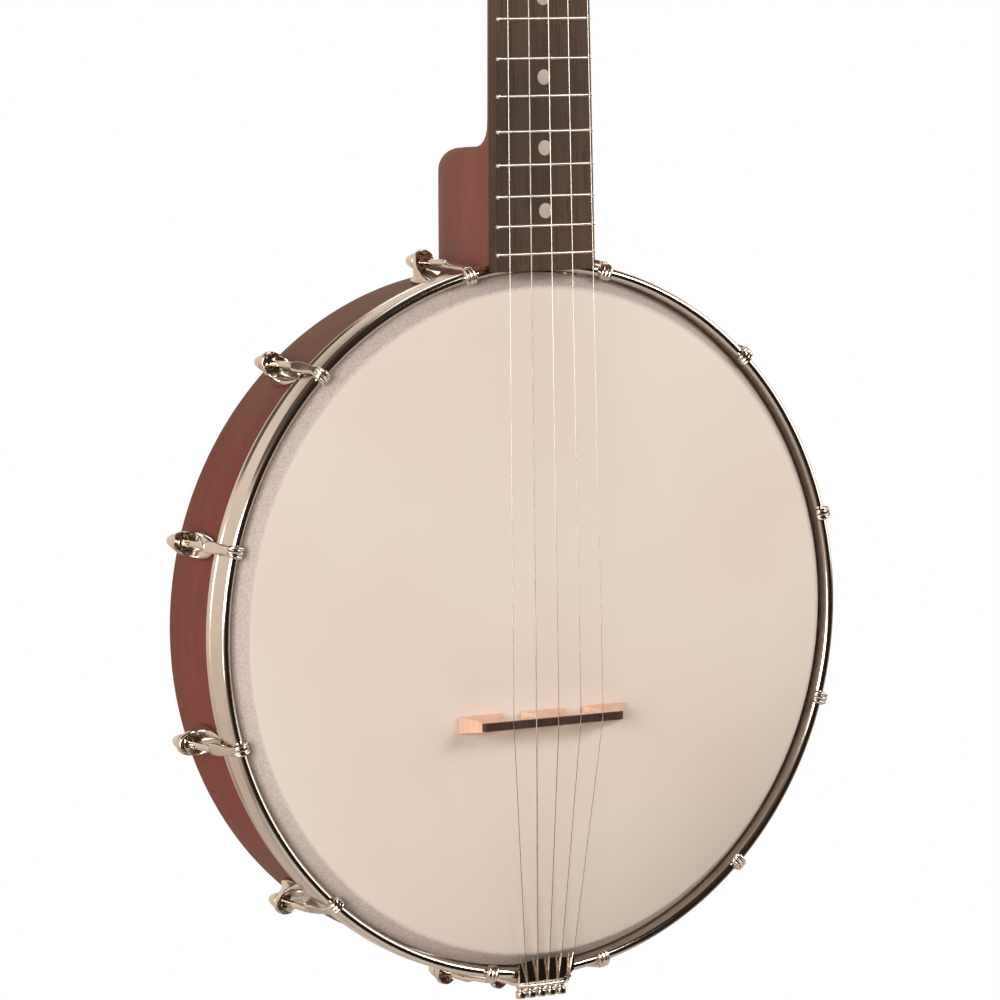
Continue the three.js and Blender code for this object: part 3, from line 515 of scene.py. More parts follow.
MAHOGANY = wood("mahogany", srgb(115, 63, 50), srgb(129, 74, 59), srgb(134, 67, 54), pores=0.25)
MAHOGANY_RIM = wood("mahogany_rim", srgb(110, 59, 47), srgb(121, 67, 54), srgb(126, 62, 50),
                    ring=True, pores=0.2, specular=0.15)
ROSEWOOD = wood("rosewood", srgb(66, 51, 39), srgb(82, 64, 50), srgb(94, 66, 52),
                pores=0.6, roughness=(0.5, 0.68), streak=3.2)
MAPLE = wood("maple", srgb(238, 196, 168), srgb(250, 216, 190), srgb(242, 196, 168),
             pores=0.15, roughness=(0.5, 0.62), streak=2)
EBONY = wood("ebony", srgb(62, 44, 37), srgb(82, 60, 49), srgb(76, 52, 43),
             pores=0.5, roughness=(0.35, 0.5), streak=3)
NICKEL = metal("nickel", srgb(228, 219, 208), 0.09)
NICKEL_RING = metal("nickel_hoop", srgb(228, 219, 208), 0.10, ring=True, brushed=True)
STEEL = metal("steel", srgb(200, 194, 186), 0.24, brushed=True)
WIRE = metal("string_wire", srgb(226, 214, 198), 0.2)
FRET = metal("fret_wire", srgb(226, 216, 204), 0.28)
WOUND = wound_wire()
BRASS = metal("brass", srgb(204, 170, 104), 0.28, ring=True, brushed=True)
HEAD = head_coating()
BONE = plastic("bone", srgb(238, 230, 210), srgb(226, 214, 190), 0.4)
PEARL = plastic("pearloid", srgb(238, 230, 218), srgb(206, 192, 176), 0.22, 140, 3.0)
DOT = plastic("dot_inlay", srgb(196, 184, 170), srgb(182, 168, 154), 0.35, 300, 2.0)
BLACK = plastic("black_plastic", srgb(26, 24, 23), srgb(36, 33, 31), 0.4)


def nickel_piece(name, shape, nodes=(), body="banjo", edges=40):
    piece(name, shape, NICKEL, nodes, body, edges)


# ---------------------------------------------------------------- the pot
POT_SEGMENTS = 288
SKIN = 0.3
COLLAR_R, COLLAR_END_Y = 140.35, 12.9
BEAD_CENTRE_R, BEAD_CENTRE_Y, BEAD_R = 143.0, 3.65, 2.15
HOOP_STRAP_END_Y = 10.8


def rim_wood():
    section = [(RIM_INNER_R, RIM_FRONT_Y), (RIM_OUTER_R, RIM_FRONT_Y),
               (RIM_OUTER_R, RIM_BACK_Y), (RIM_INNER_R, RIM_BACK_Y)]
    return collar(section, [0.5, 0.5, 1.6, 1.2], 4, POT_SEGMENTS)


def tone_ring():
    """A bar with a stepped outer side, under the edge of the head."""
    section = [(128.5, 1.0), (133.9, 0.8), (135.2, 2.6), (137.2, 5.2), (138.6, 6.1), (128.5, 6.1)]
    return collar(section, [0.6, 0.8, 0.8, 0.8, 0.2, 0.2], 4, POT_SEGMENTS)


def head_skin():
    """A flat crown, a rounded edge and a steep collar, with the inside a skin's thickness further in."""
    outside = [(0, 0), (60, 0), (120, 0), (134.9, 0), (136.2, 1.7), (138.0, 4.2), (139.5, 6.2), (140.2, 7.2),
               (COLLAR_R, COLLAR_END_Y)]
    outer = rounded(outside, [0, 0, 0, 0.6, 0.9, 0.9, 0.6, 0.4, 0], closed=False)
    inner = [(max(r - SKIN, 0), y + SKIN) for r, y in outer[:-1]] + [(COLLAR_R - SKIN, COLLAR_END_Y)]
    return lathe(np.vstack((outer, inner[::-1])), POT_SEGMENTS)


def rolled_hoop():
    """A strap on edge, rolled into a round bead at the front."""
    inner_r, outer_r = BEAD_CENTRE_R - BEAD_R, BEAD_CENTRE_R + BEAD_R
    bead = [(BEAD_CENTRE_R - BEAD_R * math.cos(a), BEAD_CENTRE_Y - BEAD_R * math.sin(a))
            for a in np.linspace(0, math.pi, 25)]
    section = [(inner_r, HOOP_STRAP_END_Y), *bead, (outer_r, HOOP_STRAP_END_Y),
               (outer_r - 0.3, HOOP_STRAP_END_Y + 0.3)]
    return lathe(section, POT_SEGMENTS, True)


def flesh_band():
    section = [(140.68, 11.4), (141.3, 11.4), (144.3, 14.7), (144.4, 16.0), (143.4, 17.8), (140.68, 17.9)]
    return collar(section, [0.2, 0.4, 1.6, 1.2, 0.9, 0.2], 8, POT_SEGMENTS)


piece("rim_wood", rim_wood(), MAHOGANY_RIM, "rim")
piece("tone_ring_turned", tone_ring(), BRASS, "tone_ring")
piece("head_skin", head_skin(), HEAD, "head", edges=50)
piece("tension_hoop_rolled", rolled_hoop(), NICKEL_RING, "tension_hoop")
piece("flesh_hoop_band", flesh_band(), NICKEL_RING, "flesh_hoop")


# ---------------------------------------------------------------- hooks, nuts and shoes
RIB_COUNT, RIB_RISE, RIB_SINK = 3, 1.25, 1.05
SHOE_FOOT_R = 140.5
TAIL_SHOE_STRETCH = 0.19
BOLT_SEAT_R = 126.2
BOLT_HEAD_R = 5


def hook_shape():
    """Swept from the ridged claw over the hoop, down the flat strap and its collar, into the round rod."""
    #        radius   y     half width  half thickness  ribs  squareness
    stations = [
        (140.15, 2.30, 1.30, 0.25, 0.0, 2.2),
        (140.35, 1.75, 2.20, 0.70, 0.6, 2.6),
        (140.90, 1.10, 2.65, 0.95, 1.0, 3.0),
        (141.80, 0.55, 2.80, 1.05, 1.0, 3.0),
        (143.10, 0.30, 2.80, 1.10, 1.0, 3.0),
        (144.40, 0.55, 2.70, 1.05, 1.0, 3.0),
        (145.50, 1.30, 2.40, 1.00, 0.8, 3.0),
        (146.30, 2.60, 1.90, 0.90, 0.0, 3.2),
        (146.60, 4.40, 1.65, 0.85, 0.0, 3.4),
        (146.80, 7.00, 1.80, 0.85, 0.0, 3.8),
        (147.00, 10.0, 2.25, 0.85, 0.0, 4.2),
        (147.20, 13.0, 2.45, 0.90, 0.0, 4.2),
        (147.50, 16.6, 2.40, 1.05, 0.0, 3.8),
        (147.65, 17.6, 2.20, 1.30, 0.0, 3.0),
        (147.85, 18.2, 1.55, 1.40, 0.0, 2.4),
        (148.00, 19.6, 1.42, 1.42, 0.0, 2.0),
        (148.00, 30.0, 1.40, 1.40, 0.0, 2.0),
        (148.00, 40.5, 1.40, 1.40, 0.0, 2.0),
    ]
    rows = catmull(stations, 4)
    angles = circle(72)
    sections = []
    for (r, y, half, thick, ribs, power), (dr, dy) in zip(rows, tangents(rows[:, :2])):
        power = max(power, 2.0)
        across = squared(np.cos(angles), power) * half
        out = squared(np.sin(angles), power) * thick
        bumps = RIB_RISE * ribs * np.sqrt(np.abs(np.sin(RIB_COUNT / 2 * math.pi * (across / half + 1))))
        out = out + np.where(out > 0, bumps - RIB_SINK * ribs, 0)
        # outwards from the pot is at right angles to the path
        sections.append(np.column_stack((across, y - dr * out, r + dy * out)))
    return loft(sections)


def on_hook_axis(shape):
    return placed(shape, shift(0, 0, HOOK_AXIS_R))


def dome_nut():
    profile = [(0, 39.3), (3.4, 39.3), (3.7, 39.6), (3.7, 40.3), (3.5, 40.8), (3.3, 41.4), (3.0, 43.0),
               (2.6, 44.6), (2.1, 46.2), (1.4, 47.3), (0.7, 47.8), (0, 47.9)]
    return on_hook_axis(lathe(catmull(profile, 3), 40))


def shoe_shape():
    """A cast shell: an oval foot on the rim that rises to a rounded lug, dished towards the hook."""
    #        radius  half width  front y  back y  squareness  dish
    stations = [
        (140.0, 5.00, 24.3, 45.7, 2.0, 0.0),
        (140.5, 5.30, 24.0, 46.0, 2.0, 0.0),
        (141.2, 5.25, 24.4, 45.4, 2.1, 1.0),
        (142.0, 5.20, 25.4, 43.6, 2.2, 2.8),
        (143.0, 5.15, 26.8, 41.6, 2.4, 4.4),
        (144.4, 5.10, 28.6, 40.2, 2.5, 5.4),
        (146.2, 5.05, 30.4, 39.4, 2.5, 5.6),
        (148.2, 4.75, 31.8, 39.1, 2.5, 5.0),
        (150.2, 4.10, 32.8, 39.0, 2.4, 3.8),
        (151.6, 3.20, 33.4, 38.8, 2.3, 2.0),
        (152.5, 2.00, 34.0, 38.4, 2.2, 0.5),
        (152.85, 0.90, 34.8, 37.6, 2.2, 0.0),
    ]
    angles = circle(56)
    c, s = np.cos(angles), np.sin(angles)
    sections = []
    for r, half, front, back, power, dish in catmull(stations, 4):
        power = max(power, 1.8)
        x = squared(c, power) * half
        y = (front + back) / 2 + squared(s, power) * (back - front) / 2
        from_middle = np.clip(np.abs(x) / (0.95 * half), 0, 1)
        y = y + np.where(s < 0, np.maximum(dish, 0) * (1 - from_middle**2.2), 0)
        sections.append(np.column_stack((x, y, np.full(len(x), r))))
    return loft(sections)


def shoe_bolt():
    """The head and washer inside the rim; built with -Y towards the pot's middle, then turned."""
    outline = rounded([(x, z) for z, x in hexagon(BOLT_HEAD_R)], 0.5, 2)
    washer = spindle([(0, 0), (5.9, 0), (5.9, 0.9), (0, 0.9)], 0.25, 2, 40)
    crown = lathe(catmull([(0, -3.6), (2.4, -3.5), (4.2, -3.05), (4.7, -2.6)], 3), 40)
    head = prism(outline, -2.9, 0.1)
    parts = ((washer, -0.2), (head, -0.2), (crown, -0.1))
    shape = merge(*(placed(part, shift(0, y, 0)) for part, y in parts))
    return placed(shape, shift(0, BOLT_Y, BOLT_SEAT_R) @ turn(math.pi / 2, "X"))


def longer_shoe(shape):
    """The same shoe, drawn out away from the rim."""
    points, faces = shape
    out = np.maximum(points[:, 2] - SHOE_FOOT_R, 0) * TAIL_SHOE_STRETCH
    return points + np.outer(out, (0, 0, 1)), faces


HOOK, DOME_NUT, SHOE, BOLT = hook_shape(), dome_nut(), shoe_shape(), shoe_bolt()
for index, angle in enumerate(HOOK_ANGLES, 1):
    hook = placed(merge(HOOK, DOME_NUT), around_pot(angle))
    shoe = placed(merge(SHOE, BOLT), around_pot(angle))
    nickel_piece(f"hook_{index:02d}", hook, f"bracket_hook_{index:02d}", edges=42)
    nickel_piece(f"shoe_{index:02d}", shoe, f"bracket_shoe_{index:02d}", edges=42)
tail_shoe = merge(longer_shoe(SHOE), BOLT)
nickel_piece("shoe_for_tailpiece", placed(tail_shoe, around_pot(180)), "tailpiece_shoe", edges=42)


# ---------------------------------------------------------------- neck
# squareness of the neck's back: round along the neck, squarer at the heel, squarest at the peghead
ROUND_POWER, HEEL_POWER, PEGHEAD_POWER = 1.65, 6, 9
HEEL_BACK_Y = 56.5
HEEL_TOP_Z = 190.2
HEEL_CORNER_DEPTH, HEEL_CORNER_HEIGHT = 19.0, 9.5
NECK_END_Z, POT_FIT_Z = 146.0, 176.0
HOOPS_CLEAR_R, RIM_CLEAR_R, HOOPS_CLEAR_Y = 145.9, 140.2, 18.4
BOARD_END_Z = 141.2


def neck_section(z, depth):
    """Half-round under the board; the deeper it hangs at the heel, the squarer and more tapered it is."""
    heel = np.clip((depth - 17) / 40, 0, 1)
    peghead = smooth((z - (NUT_Z - 26)) / 34)
    power = lerp(ROUND_POWER, HEEL_POWER, heel) + PEGHEAD_POWER * peghead
    angles = np.linspace(0, math.pi, 41)
    y = depth * squared(np.sin(angles), power)
    narrow = lerp(1, 0.76, y / RIM_BACK_Y)
    centre, half = (treble_x(z) + bass_x(z)) / 2, (treble_x(z) - bass_x(z)) / 2
    x = centre + squared(np.cos(angles), power) * half * narrow
    return np.column_stack((x, y + 0.3, np.full(len(x), float(z))))


def neck_depth(z):
    return lerp(16, 14, (z - LAST_FRET_Z) / (NUT_Z - LAST_FRET_Z))


def neck_stations():
    """(z, depth) up the neck: heel, its rounded corner, its hollow, and the long back."""
    stations = [(z, HEEL_BACK_Y) for z in (NECK_END_Z, 150, 156, 162, 168, 174, 178)]
    for a in np.linspace(0, math.pi / 2, 9):
        z = HEEL_TOP_Z - HEEL_CORNER_HEIGHT * (1 - math.sin(a))
        stations.append((z, HEEL_BACK_Y - HEEL_CORNER_DEPTH * (1 - math.cos(a))))
    for depth in (35, 32, 29.5):
        stations.append((HEEL_TOP_Z + 0.02 * (46 - depth), depth))
    base = neck_depth(HEEL_TOP_Z + 18)
    for a in np.linspace(0.15, math.pi / 2, 8):
        stations.append((HEEL_TOP_Z + 0.4 + 17 * (1 - math.cos(a)), base + 12 * (1 - math.sin(a)) ** 1.3))
    for z in np.linspace(212, NUT_Z + 10, 64):
        stations.append((z, neck_depth(z)))
    return stations


def neck_shape():
    sections = [neck_section(z, depth) for z, depth in neck_stations()]
    # the lower end follows the round of the pot, stepped where the hoops stand out
    for row in sections:
        x, y, z = row[:, 0], row[:, 1], row[:, 2]
        start = np.sqrt(np.where(y < HOOPS_CLEAR_Y, HOOPS_CLEAR_R, RIM_CLEAR_R) ** 2 - x**2)
        t = np.clip((z - NECK_END_Z) / (POT_FIT_Z - NECK_END_Z), 0, 1)
        row[:, 2] = np.where(z < POT_FIT_Z, start + t * (POT_FIT_Z - start), z)
    return loft(sections)


PEGHEAD_SIDE = [(14.35, -6), (14.35, 3), (15.9, 12), (22.3, 22), (30, 34), (31, 52), (28.5, 78), (27.5, 96),
                (30, 118), (32, 140), (27, 152), (16, 155), (8, 161)]
PEGHEAD_TIP = (0, 167.9)


def peghead_shape():
    """A curved side between straight lines at the neck and the top, mirrored."""
    side = catmull(PEGHEAD_SIDE[2:-3], 4)
    half = np.vstack((PEGHEAD_SIDE[:2], side, PEGHEAD_SIDE[-3:], [PEGHEAD_TIP]))
    outline = np.vstack((half, [(-x, z) for x, z in half[:-1][::-1]]))
    return placed(prism(outline, PEGHEAD_FRONT_Y, PEGHEAD_BACK_Y), PEGHEAD)


def board_outline():
    heights = np.concatenate((np.linspace(BOARD_END_Z, FIFTH_Z, 10),
                              np.linspace(FIFTH_Z, FIFTH_Z + STEP_LENGTH, 12)[1:],
                              np.linspace(FIFTH_Z + STEP_LENGTH, NUT_Z - 0.3, 8)[1:]))
    return [(treble_x(z), z) for z in heights] + [(bass_x(z), z) for z in heights[::-1]]


def fret_shape(fret):
    """A crowned wire across the board, with a rounded bead at each end."""
    z = fret_z(fret)
    low, high = bass_x(z) + 0.1, treble_x(z) - 0.1
    angles = np.linspace(0, math.pi, 13)
    #       inwards  half width  height
    end = [(0, 0.2, 0.15), (0.12, 0.75, 0.85), (0.5, 1.1, 1.25), (1.0, 1.15, 1.3), (1.5, 0.9, 1.05),
           (1.8, 0.72, 0.92), (2.1, 0.68, 0.9), (2.6, 0.68, 0.9)]
    rows = [(low + inwards, half, rise) for inwards, half, rise in end]
    rows += [(high - inwards, half, rise) for inwards, half, rise in end[::-1]]
    return loft([np.column_stack((np.full(13, x), 0.1 - BOARD_THICKNESS - rise * np.sin(angles) ** 0.9,
                                  z + half * np.cos(angles))) for x, half, rise in rows])


def inlaid_dot(x, fret):
    """A round inlay in the space before a fret, a little proud of the board."""
    radius, top, under = 3.0, -BOARD_THICKNESS - 0.12, -BOARD_THICKNESS + 0.4
    profile = [(0, top), (radius - 0.25, top), (radius, top + 0.06), (radius, under), (0, under)]
    return placed(lathe(profile, 40), shift(x, 0, (fret_z(fret) + fret_z(fret - 1)) / 2))


NUT_TOP_Y = -BOARD_THICKNESS - 1.7


def nut_shape():
    side = [(0, NUT_Z), (0, NUT_Z + 4.7), (NUT_TOP_Y + 1.6, NUT_Z + 4.7), (NUT_TOP_Y, NUT_Z + 1.4),
            (NUT_TOP_Y, NUT_Z)]
    return prism(rounded(side, [0, 0.3, 0.9, 1.2, 0.15], 3), NUT_BASS_X + 0.2, NUT_TREBLE_X - 0.2, "yz")


frets = merge(*(fret_shape(fret) for fret in range(1, FRET_COUNT + 1)))
dots = [inlaid_dot(0.2, fret) for fret in (3, 5, 7, 9, 15, 17, 19, 21)]
dots += [inlaid_dot(x, 12) for x in (-7.5, 7.5)]
board = prism(board_outline(), -BOARD_THICKNESS, 0)
piece("neck_wood", merge(placed(neck_shape(), LEAN), peghead_shape()), MAHOGANY, "neck",
      edges=40, bevel=0.7)
piece("fingerboard_wood", placed(board, LEAN), ROSEWOOD, "fingerboard", edges=30, bevel=0.35)
piece("fret_wires", placed(frets, LEAN), FRET, edges=40)
piece("dot_inlays", placed(merge(*dots), LEAN), DOT, edges=40)
piece("nut_bone", placed(nut_shape(), LEAN), BONE, "nut", bevel=0.25)


# ---------------------------------------------------------------- strings
GAP = 0.3
STRING_RADII = [0.15, 0.17, 0.21, 0.29, 0.15]
WOUND_STRING, DRONE = 3, 4
CAP_TOP_Y = -12.7
PLATE_TOP_Y = -1.0
TUNER_ROWS = [50, 104]
TUNER_X = 19
FIFTH_PEG_Z = FIFTH_Z + 7
FIFTH_PEG_Y = 4.5


def spread_x(i, middle, spacing):
    """A string's X where the strings are evenly spaced about a middle."""
    return middle + (2 - i) * spacing


def bridge_x(i):
    return spread_x(i, -0.6, 10.53)


def nut_x(i):
    return spread_x(i, 0.3, 7.5)


def tail_x(i):
    return spread_x(i, 1.5, 5.7)


def board_top_y(z):
    return -BOARD_THICKNESS + NECK_TILT * (z - LAST_FRET_Z)


DRONE_X = bridge_x(DRONE) + (nut_x(DRONE) - bridge_x(DRONE)) / SCALE_LENGTH * (FIFTH_Z - BRIDGE_Z)


def string_route(i):
    """A string's corners: tailpiece, bridge, nut and post; the drone string ends at its pip and side peg."""
    lift = GAP + STRING_RADII[i]
    bridge = (bridge_x(i), CAP_TOP_Y - lift - 0.1, BRIDGE_Z)
    tail = (tail_x(i), PLATE_TOP_Y - lift, -137.0)
    if i == DRONE:
        nut = (DRONE_X, board_top_y(FIFTH_Z) - 2 - lift, FIFTH_Z + 4.3)
        peg = (float(bass_x(FIFTH_PEG_Z)) - 4.2, FIFTH_PEG_Y - 3.5 - lift - 1, FIFTH_PEG_Z + 1.5)
    else:
        nut = put([(nut_x(i), NUT_TOP_Y - lift, NUT_Z + 1.2)], LEAN)[0]
        side = 1 if i < 2 else -1
        row = TUNER_ROWS[0 if i in (0, 3) else 1]
        peg = put([(side * (TUNER_X - 3 - lift), -9, row)], PEGHEAD)[0]
    return [np.array(p) for p in (tail, bridge, nut, peg)]


def string_shape(i):
    """The string itself, and over the plate its two strands, which meet at the lip and hook over it."""
    # thin strings are drawn a little thicker and thick ones a little thinner
    radius = 0.05 + STRING_RADII[i] * 0.75
    route = string_route(i)
    path = []
    for a, b in zip(route, route[1:]):
        path += [lerp(a, b, t) for t in np.linspace(0, 1, 12, endpoint=False)]
    path.append(route[-1])
    lip = np.array((tail_x(i) * 0.84 - 0.4, PLATE_TOP_Y - 0.5, -146.8))
    strands = []
    for side in (0, -2.1):
        start = route[0] + np.array((side, 0.1, 1.2))
        strands.append(tube([start, lerp(start, lip, 0.5), lip, lip + np.array((0, 1.7, -1.6))], 0.25, 14))
    return merge(tube(path, radius, 14), *strands)


for i in range(5):
    piece(f"string_wire_{i + 1}", string_shape(i), WOUND if i == WOUND_STRING else WIRE,
          f"string_{i + 1}")
pip = spindle([(0, 0), (1.2, 0), (1.0, -1.7), (0, -1.7)], 0.25, 3, 24)
pip_place = shift(DRONE_X, board_top_y(FIFTH_Z) - 0.3, FIFTH_Z + 3)
piece("fifth_string_pip", placed(pip, pip_place), BONE, "fifth_string_nut")


# ---------------------------------------------------------------- bridge
BASE_TOP_Y = -10.5
FOOT_Y, FOOT_SIDE_Y = -0.3, -1.6
FEET_X = [(-39.5, -20.0), (-10.6, 9.4), (18.6, 38.5)]


def bridge_base():
    """Three feet under a bar, arched between, thinner towards the top."""
    outline = [(-35, BASE_TOP_Y), (-35, -8.5), (-35.6, -6.0), (-37.2, -3.4)]
    #       inwards from a foot's side  height
    arch = [(0, FOOT_SIDE_Y), (3.2, -3.6), (4.6, -6.5), (3.5, -8.6), (1.0, -9.2)]
    for k, (left, right) in enumerate(FEET_X):
        outline += [(left, FOOT_SIDE_Y), (left, FOOT_Y), (right, FOOT_Y)]
        if k < 2:
            outline += [(right - inwards, y) for inwards, y in arch]
            outline += [(FEET_X[k + 1][0] + inwards, y) for inwards, y in arch[::-1]]
    outline += [(38.5, FOOT_SIDE_Y), (36.2, -3.4), (32.6, -6.0), (31, -8.5), (31, BASE_TOP_Y)]
    outline = np.array(outline)
    up = np.clip((outline[:, 1] - FOOT_Y) / (BASE_TOP_Y - FOOT_Y), 0, 1)
    rows = []
    for side, top_half in ((-1, 2.25), (1, 1.75)):
        z = BRIDGE_Z + side * lerp(3.4, top_half, up)
        rows.append(np.column_stack((outline[:, 0], outline[:, 1], z)))
    return loft(rows)


cap = [(-35, -10.8), (-35, -12.2), (-34.2, CAP_TOP_Y), (29.4, CAP_TOP_Y), (31, -12.0), (31, -10.8)]
cap = rounded(cap, [0.2, 0.4, 0.8, 0.8, 0.4, 0.2], 3)
piece("bridge_maple", bridge_base(), MAPLE, "bridge_base", edges=40, bevel=0.35)
piece("bridge_cap_ebony", prism(cap, BRIDGE_Z - 1.6, BRIDGE_Z + 1.6, "xy"), EBONY, "bridge_cap",
      edges=40, bevel=0.3)


# ---------------------------------------------------------------- tailpiece
PLATE_BASS_X, PLATE_TREBLE_X, PLATE_MIDDLE_X = -12.4, 13.6, 0.6
SKIRT_END_Y = 16.8


def tail_plate():
    """A sheet bent over the hoop: a top with a bowed front edge, a rounded bend, and a narrowing skirt."""
    inside = [(0.3, -137.6), (0.3, -144.5), (1.2, -146.3), (3.2, -146.6), (9, -146.6), (SKIRT_END_Y, -146.6)]
    outside = [(-1.0, -137.6), (-1.0, -145.0), (0.0, -147.2), (3.0, -147.8), (9, -147.8),
               (SKIRT_END_Y, -147.8)]
    depth, height = np.vstack((catmull(outside, 5), catmull(inside, 5)[::-1])).T
    lower = smooth((-142 - height) / 5)
    rows = []
    for x in np.linspace(PLATE_BASS_X, PLATE_TREBLE_X, 19):
        bow = (x - PLATE_MIDDLE_X) / 13
        across_x = x - 1.4 * lower * np.clip((x + 12.4) / 26, 0, 1)
        z = height + lower * 0.5 * max(x - 9.0, 0)
        z = np.where(z > -139.5, z - 1.0 * bow * bow + 0.6, z)
        rows.append(np.column_stack((across_x, depth, z)))
    return loft(rows)


def tail_posts():
    profile = [(0, -1.5), (2.1, -1.5), (2.1, 0.6), (1.5, 1.0), (1.5, 2.0), (2.2, 2.5), (2.2, 4.6), (1.8, 5.2),
               (0, 5.35)]
    knob = spindle(profile, 0.35, 3, 28)
    return merge(*(placed(knob, shift(spread_x(i, -0.9, 4.75), 1.6, -147.6) @ turn(-math.pi / 2, "X"))
                   for i in range(5)))


def tail_lip():
    """The rolled edge along the bend."""
    path = [(-12.6, -0.6, -147.2), (-8, -0.75, -147.5), (-1, -0.8, -147.6), (5, -0.75, -147.5),
            (8.4, -0.6, -147.2), (12.0, -0.5, -145.3)]
    return tube(catmull(path, 5), 0.6, 14)


def tail_bolt():
    rod = tube([(0, 13, -HOOK_AXIS_R), (0, 41, -HOOK_AXIS_R)], 1.8, 24)
    screw_head = on_hook_axis(spindle([(0, 12), (2.5, 12), (2.5, 14.7), (0, 14.7)], 0.4, 3, 32))
    return merge(rod, placed(merge(screw_head, DOME_NUT), around_pot(180)))


ear = collar([(2.2, 15), (4.2, 15), (4.2, 19), (2.2, 19)], 0.5, 3, 32)
nickel_piece("tailpiece_plate", merge(tail_plate(), tail_posts(), tail_lip()), "tailpiece", edges=45)
nickel_piece("tailpiece_bolt", tail_bolt(), "tailpiece_hanger", edges=42)
nickel_piece("tailpiece_ear", placed(ear, shift(0, 0, -HOOK_AXIS_R)), edges=42)


# ---------------------------------------------------------------- coordinator rod
def rod_shape():
    """A bar with chamfered ends, and a threaded stud out of its upper end."""
    bar = tube([(0, ROD_Y, z) for z in (-122, -121.4, 118.4, 119)], [4.5, 5, 5, 4.5], 40)
    heights = np.linspace(118, 162, 177)
    thread = [3.5 if k % 4 < 2 else 3.15 for k in range(len(heights))]
    return merge(bar, tube([(0, ROD_Y, z) for z in heights], thread, 24))


rod_nut = prism([(x, y + ROD_Y) for x, y in hexagon(7)], 120.4, 126.1, "xy")
piece("coordinator_rod_turned", rod_shape(), STEEL, "coordinator_rod", edges=30)
piece("rod_jam_nut", rod_nut, STEEL, "rod_nut", edges=30, bevel=0.5)


# ---------------------------------------------------------------- peghead hardware
def rod_cover():
    outline = rounded([(-9, 9), (9, 9), (8, 20), (0, 34), (-8, 20)], [1.5, 1.5, 3, 2, 3], 4)
    return placed(prism(outline, PEGHEAD_FRONT_Y - 1.8, PEGHEAD_FRONT_Y - 0.3), PEGHEAD)


def cover_screws():
    dome = ((0, 2.5), (1.0, 2.4), (1.5, 1.9), (1.5, 1.6), (0, 1.6))
    screw = lathe([(r, PEGHEAD_FRONT_Y - rise) for r, rise in dome], 20)
    return merge(*(placed(screw, PEGHEAD @ shift(x, 0, z)) for x, z in ((-5.5, 12.5), (5.5, 12.5), (0, 28))))


def tuner_housing():
    """A flanged sleeve through the peghead, and the round gear case behind it."""
    f, b = PEGHEAD_FRONT_Y, PEGHEAD_BACK_Y
    outline = [(3.3, f - 2.6), (5.6, f - 2.6), (6.6, f - 0.9), (6.6, f - 0.3), (4.7, f - 0.3), (4.7, b + 0.3),
               (8.4, b + 0.3), (8.6, b + 1.2), (8.6, b + 2.2), (8.2, b + 2.6), (8.2, b + 4.0), (8.6, b + 4.4),
               (8.6, b + 8.6), (7.6, b + 10.8), (5.4, b + 12), (3.3, b + 12)]
    return collar(outline, 0.35, 2, 48)


def tuner_post():
    f, b = PEGHEAD_FRONT_Y, PEGHEAD_BACK_Y
    outline = [(0, f - 17), (2.2, f - 17), (3.0, f - 16), (3.0, f - 11), (2.5, f - 9.4), (2.5, f - 8),
               (3.0, f - 6.4), (3.0, b + 4), (0, b + 4)]
    return spindle(outline, 0.5, 3, 40)


def knob_grip(profile, start, wide, deep):
    """A turned knob, widened one way and flattened the other for the fingers."""
    return placed(lathe(catmull(profile, 4), 48), shift(0, start, 0) @ Matrix.Diagonal((wide, 1, deep, 1)))


def tuner_button():
    start = PEGHEAD_BACK_Y + 5
    profile = [(0, 0), (3.6, 0.2), (5.2, 1.6), (6.5, 4.5), (6.8, 7.4), (5.6, 11), (3.2, 12.9), (0, 13.6)]
    stem = spindle([(0, start), (2.8, start), (2.8, start + 9), (0, start + 9)], 0.3, 2, 32)
    return merge(stem, knob_grip(profile, start + 8.4, 1.35, 0.8))


def side_peg():
    """The drone string's peg along +Y: tapered shaft with a collar, and its flat grip."""
    outline = [(0, -11), (1.9, -11), (1.9, 2.8), (3.2, 2.8), (2.6, 4.6), (3.4, 7), (3.4, 8.6), (2, 9),
               (2, 13), (0, 13)]
    profile = [(0, 0), (3.4, 0.1), (4.8, 1.4), (5.8, 4.2), (5.9, 6.6), (4.9, 9.8), (2.8, 11.5), (0, 12)]
    return merge(spindle(outline, 0.4, 3, 32), knob_grip(profile, 11.6, 0.8, 1.35))


piece("rod_cover_plate", rod_cover(), BLACK, "truss_rod_cover", bevel=0.4)
nickel_piece("cover_screws", cover_screws(), edges=35)

for index, (x, z) in enumerate([(x, z) for z in TUNER_ROWS for x in (-TUNER_X, TUNER_X)], 1):
    place = PEGHEAD @ shift(x, 0, z)
    nickel_piece(f"tuner_body_{index}", placed(tuner_housing(), place), f"tuner_housing_{index}")
    nickel_piece(f"tuner_shaft_{index}", placed(tuner_post(), place), f"tuner_post_{index}", f"post_{index}")
    piece(f"tuner_grip_{index}", placed(tuner_button(), place), PEARL,
          f"tuner_button_{index}", f"button_{index}", edges=40)

PEG_SIDE = LEAN @ shift(float(bass_x(FIFTH_PEG_Z)), FIFTH_PEG_Y, FIFTH_PEG_Z) @ turn(math.pi / 2, "Z")
bushing = collar([(2.2, -12), (3.5, -12), (3.5, 0.8), (4.6, 0.8), (4.6, 2.4), (2.2, 2.4)], 0.3, 2, 40)
nickel_piece("side_peg_bushing", placed(bushing, PEG_SIDE), "fifth_peg_bushing")
piece("side_peg", placed(side_peg(), PEG_SIDE), PEARL, "fifth_peg", "fifth_peg", edges=40)


# ---------------------------------------------------------------- stage
FLOOR_SIZE = 3.2
FLOOR_DROP = 1.6


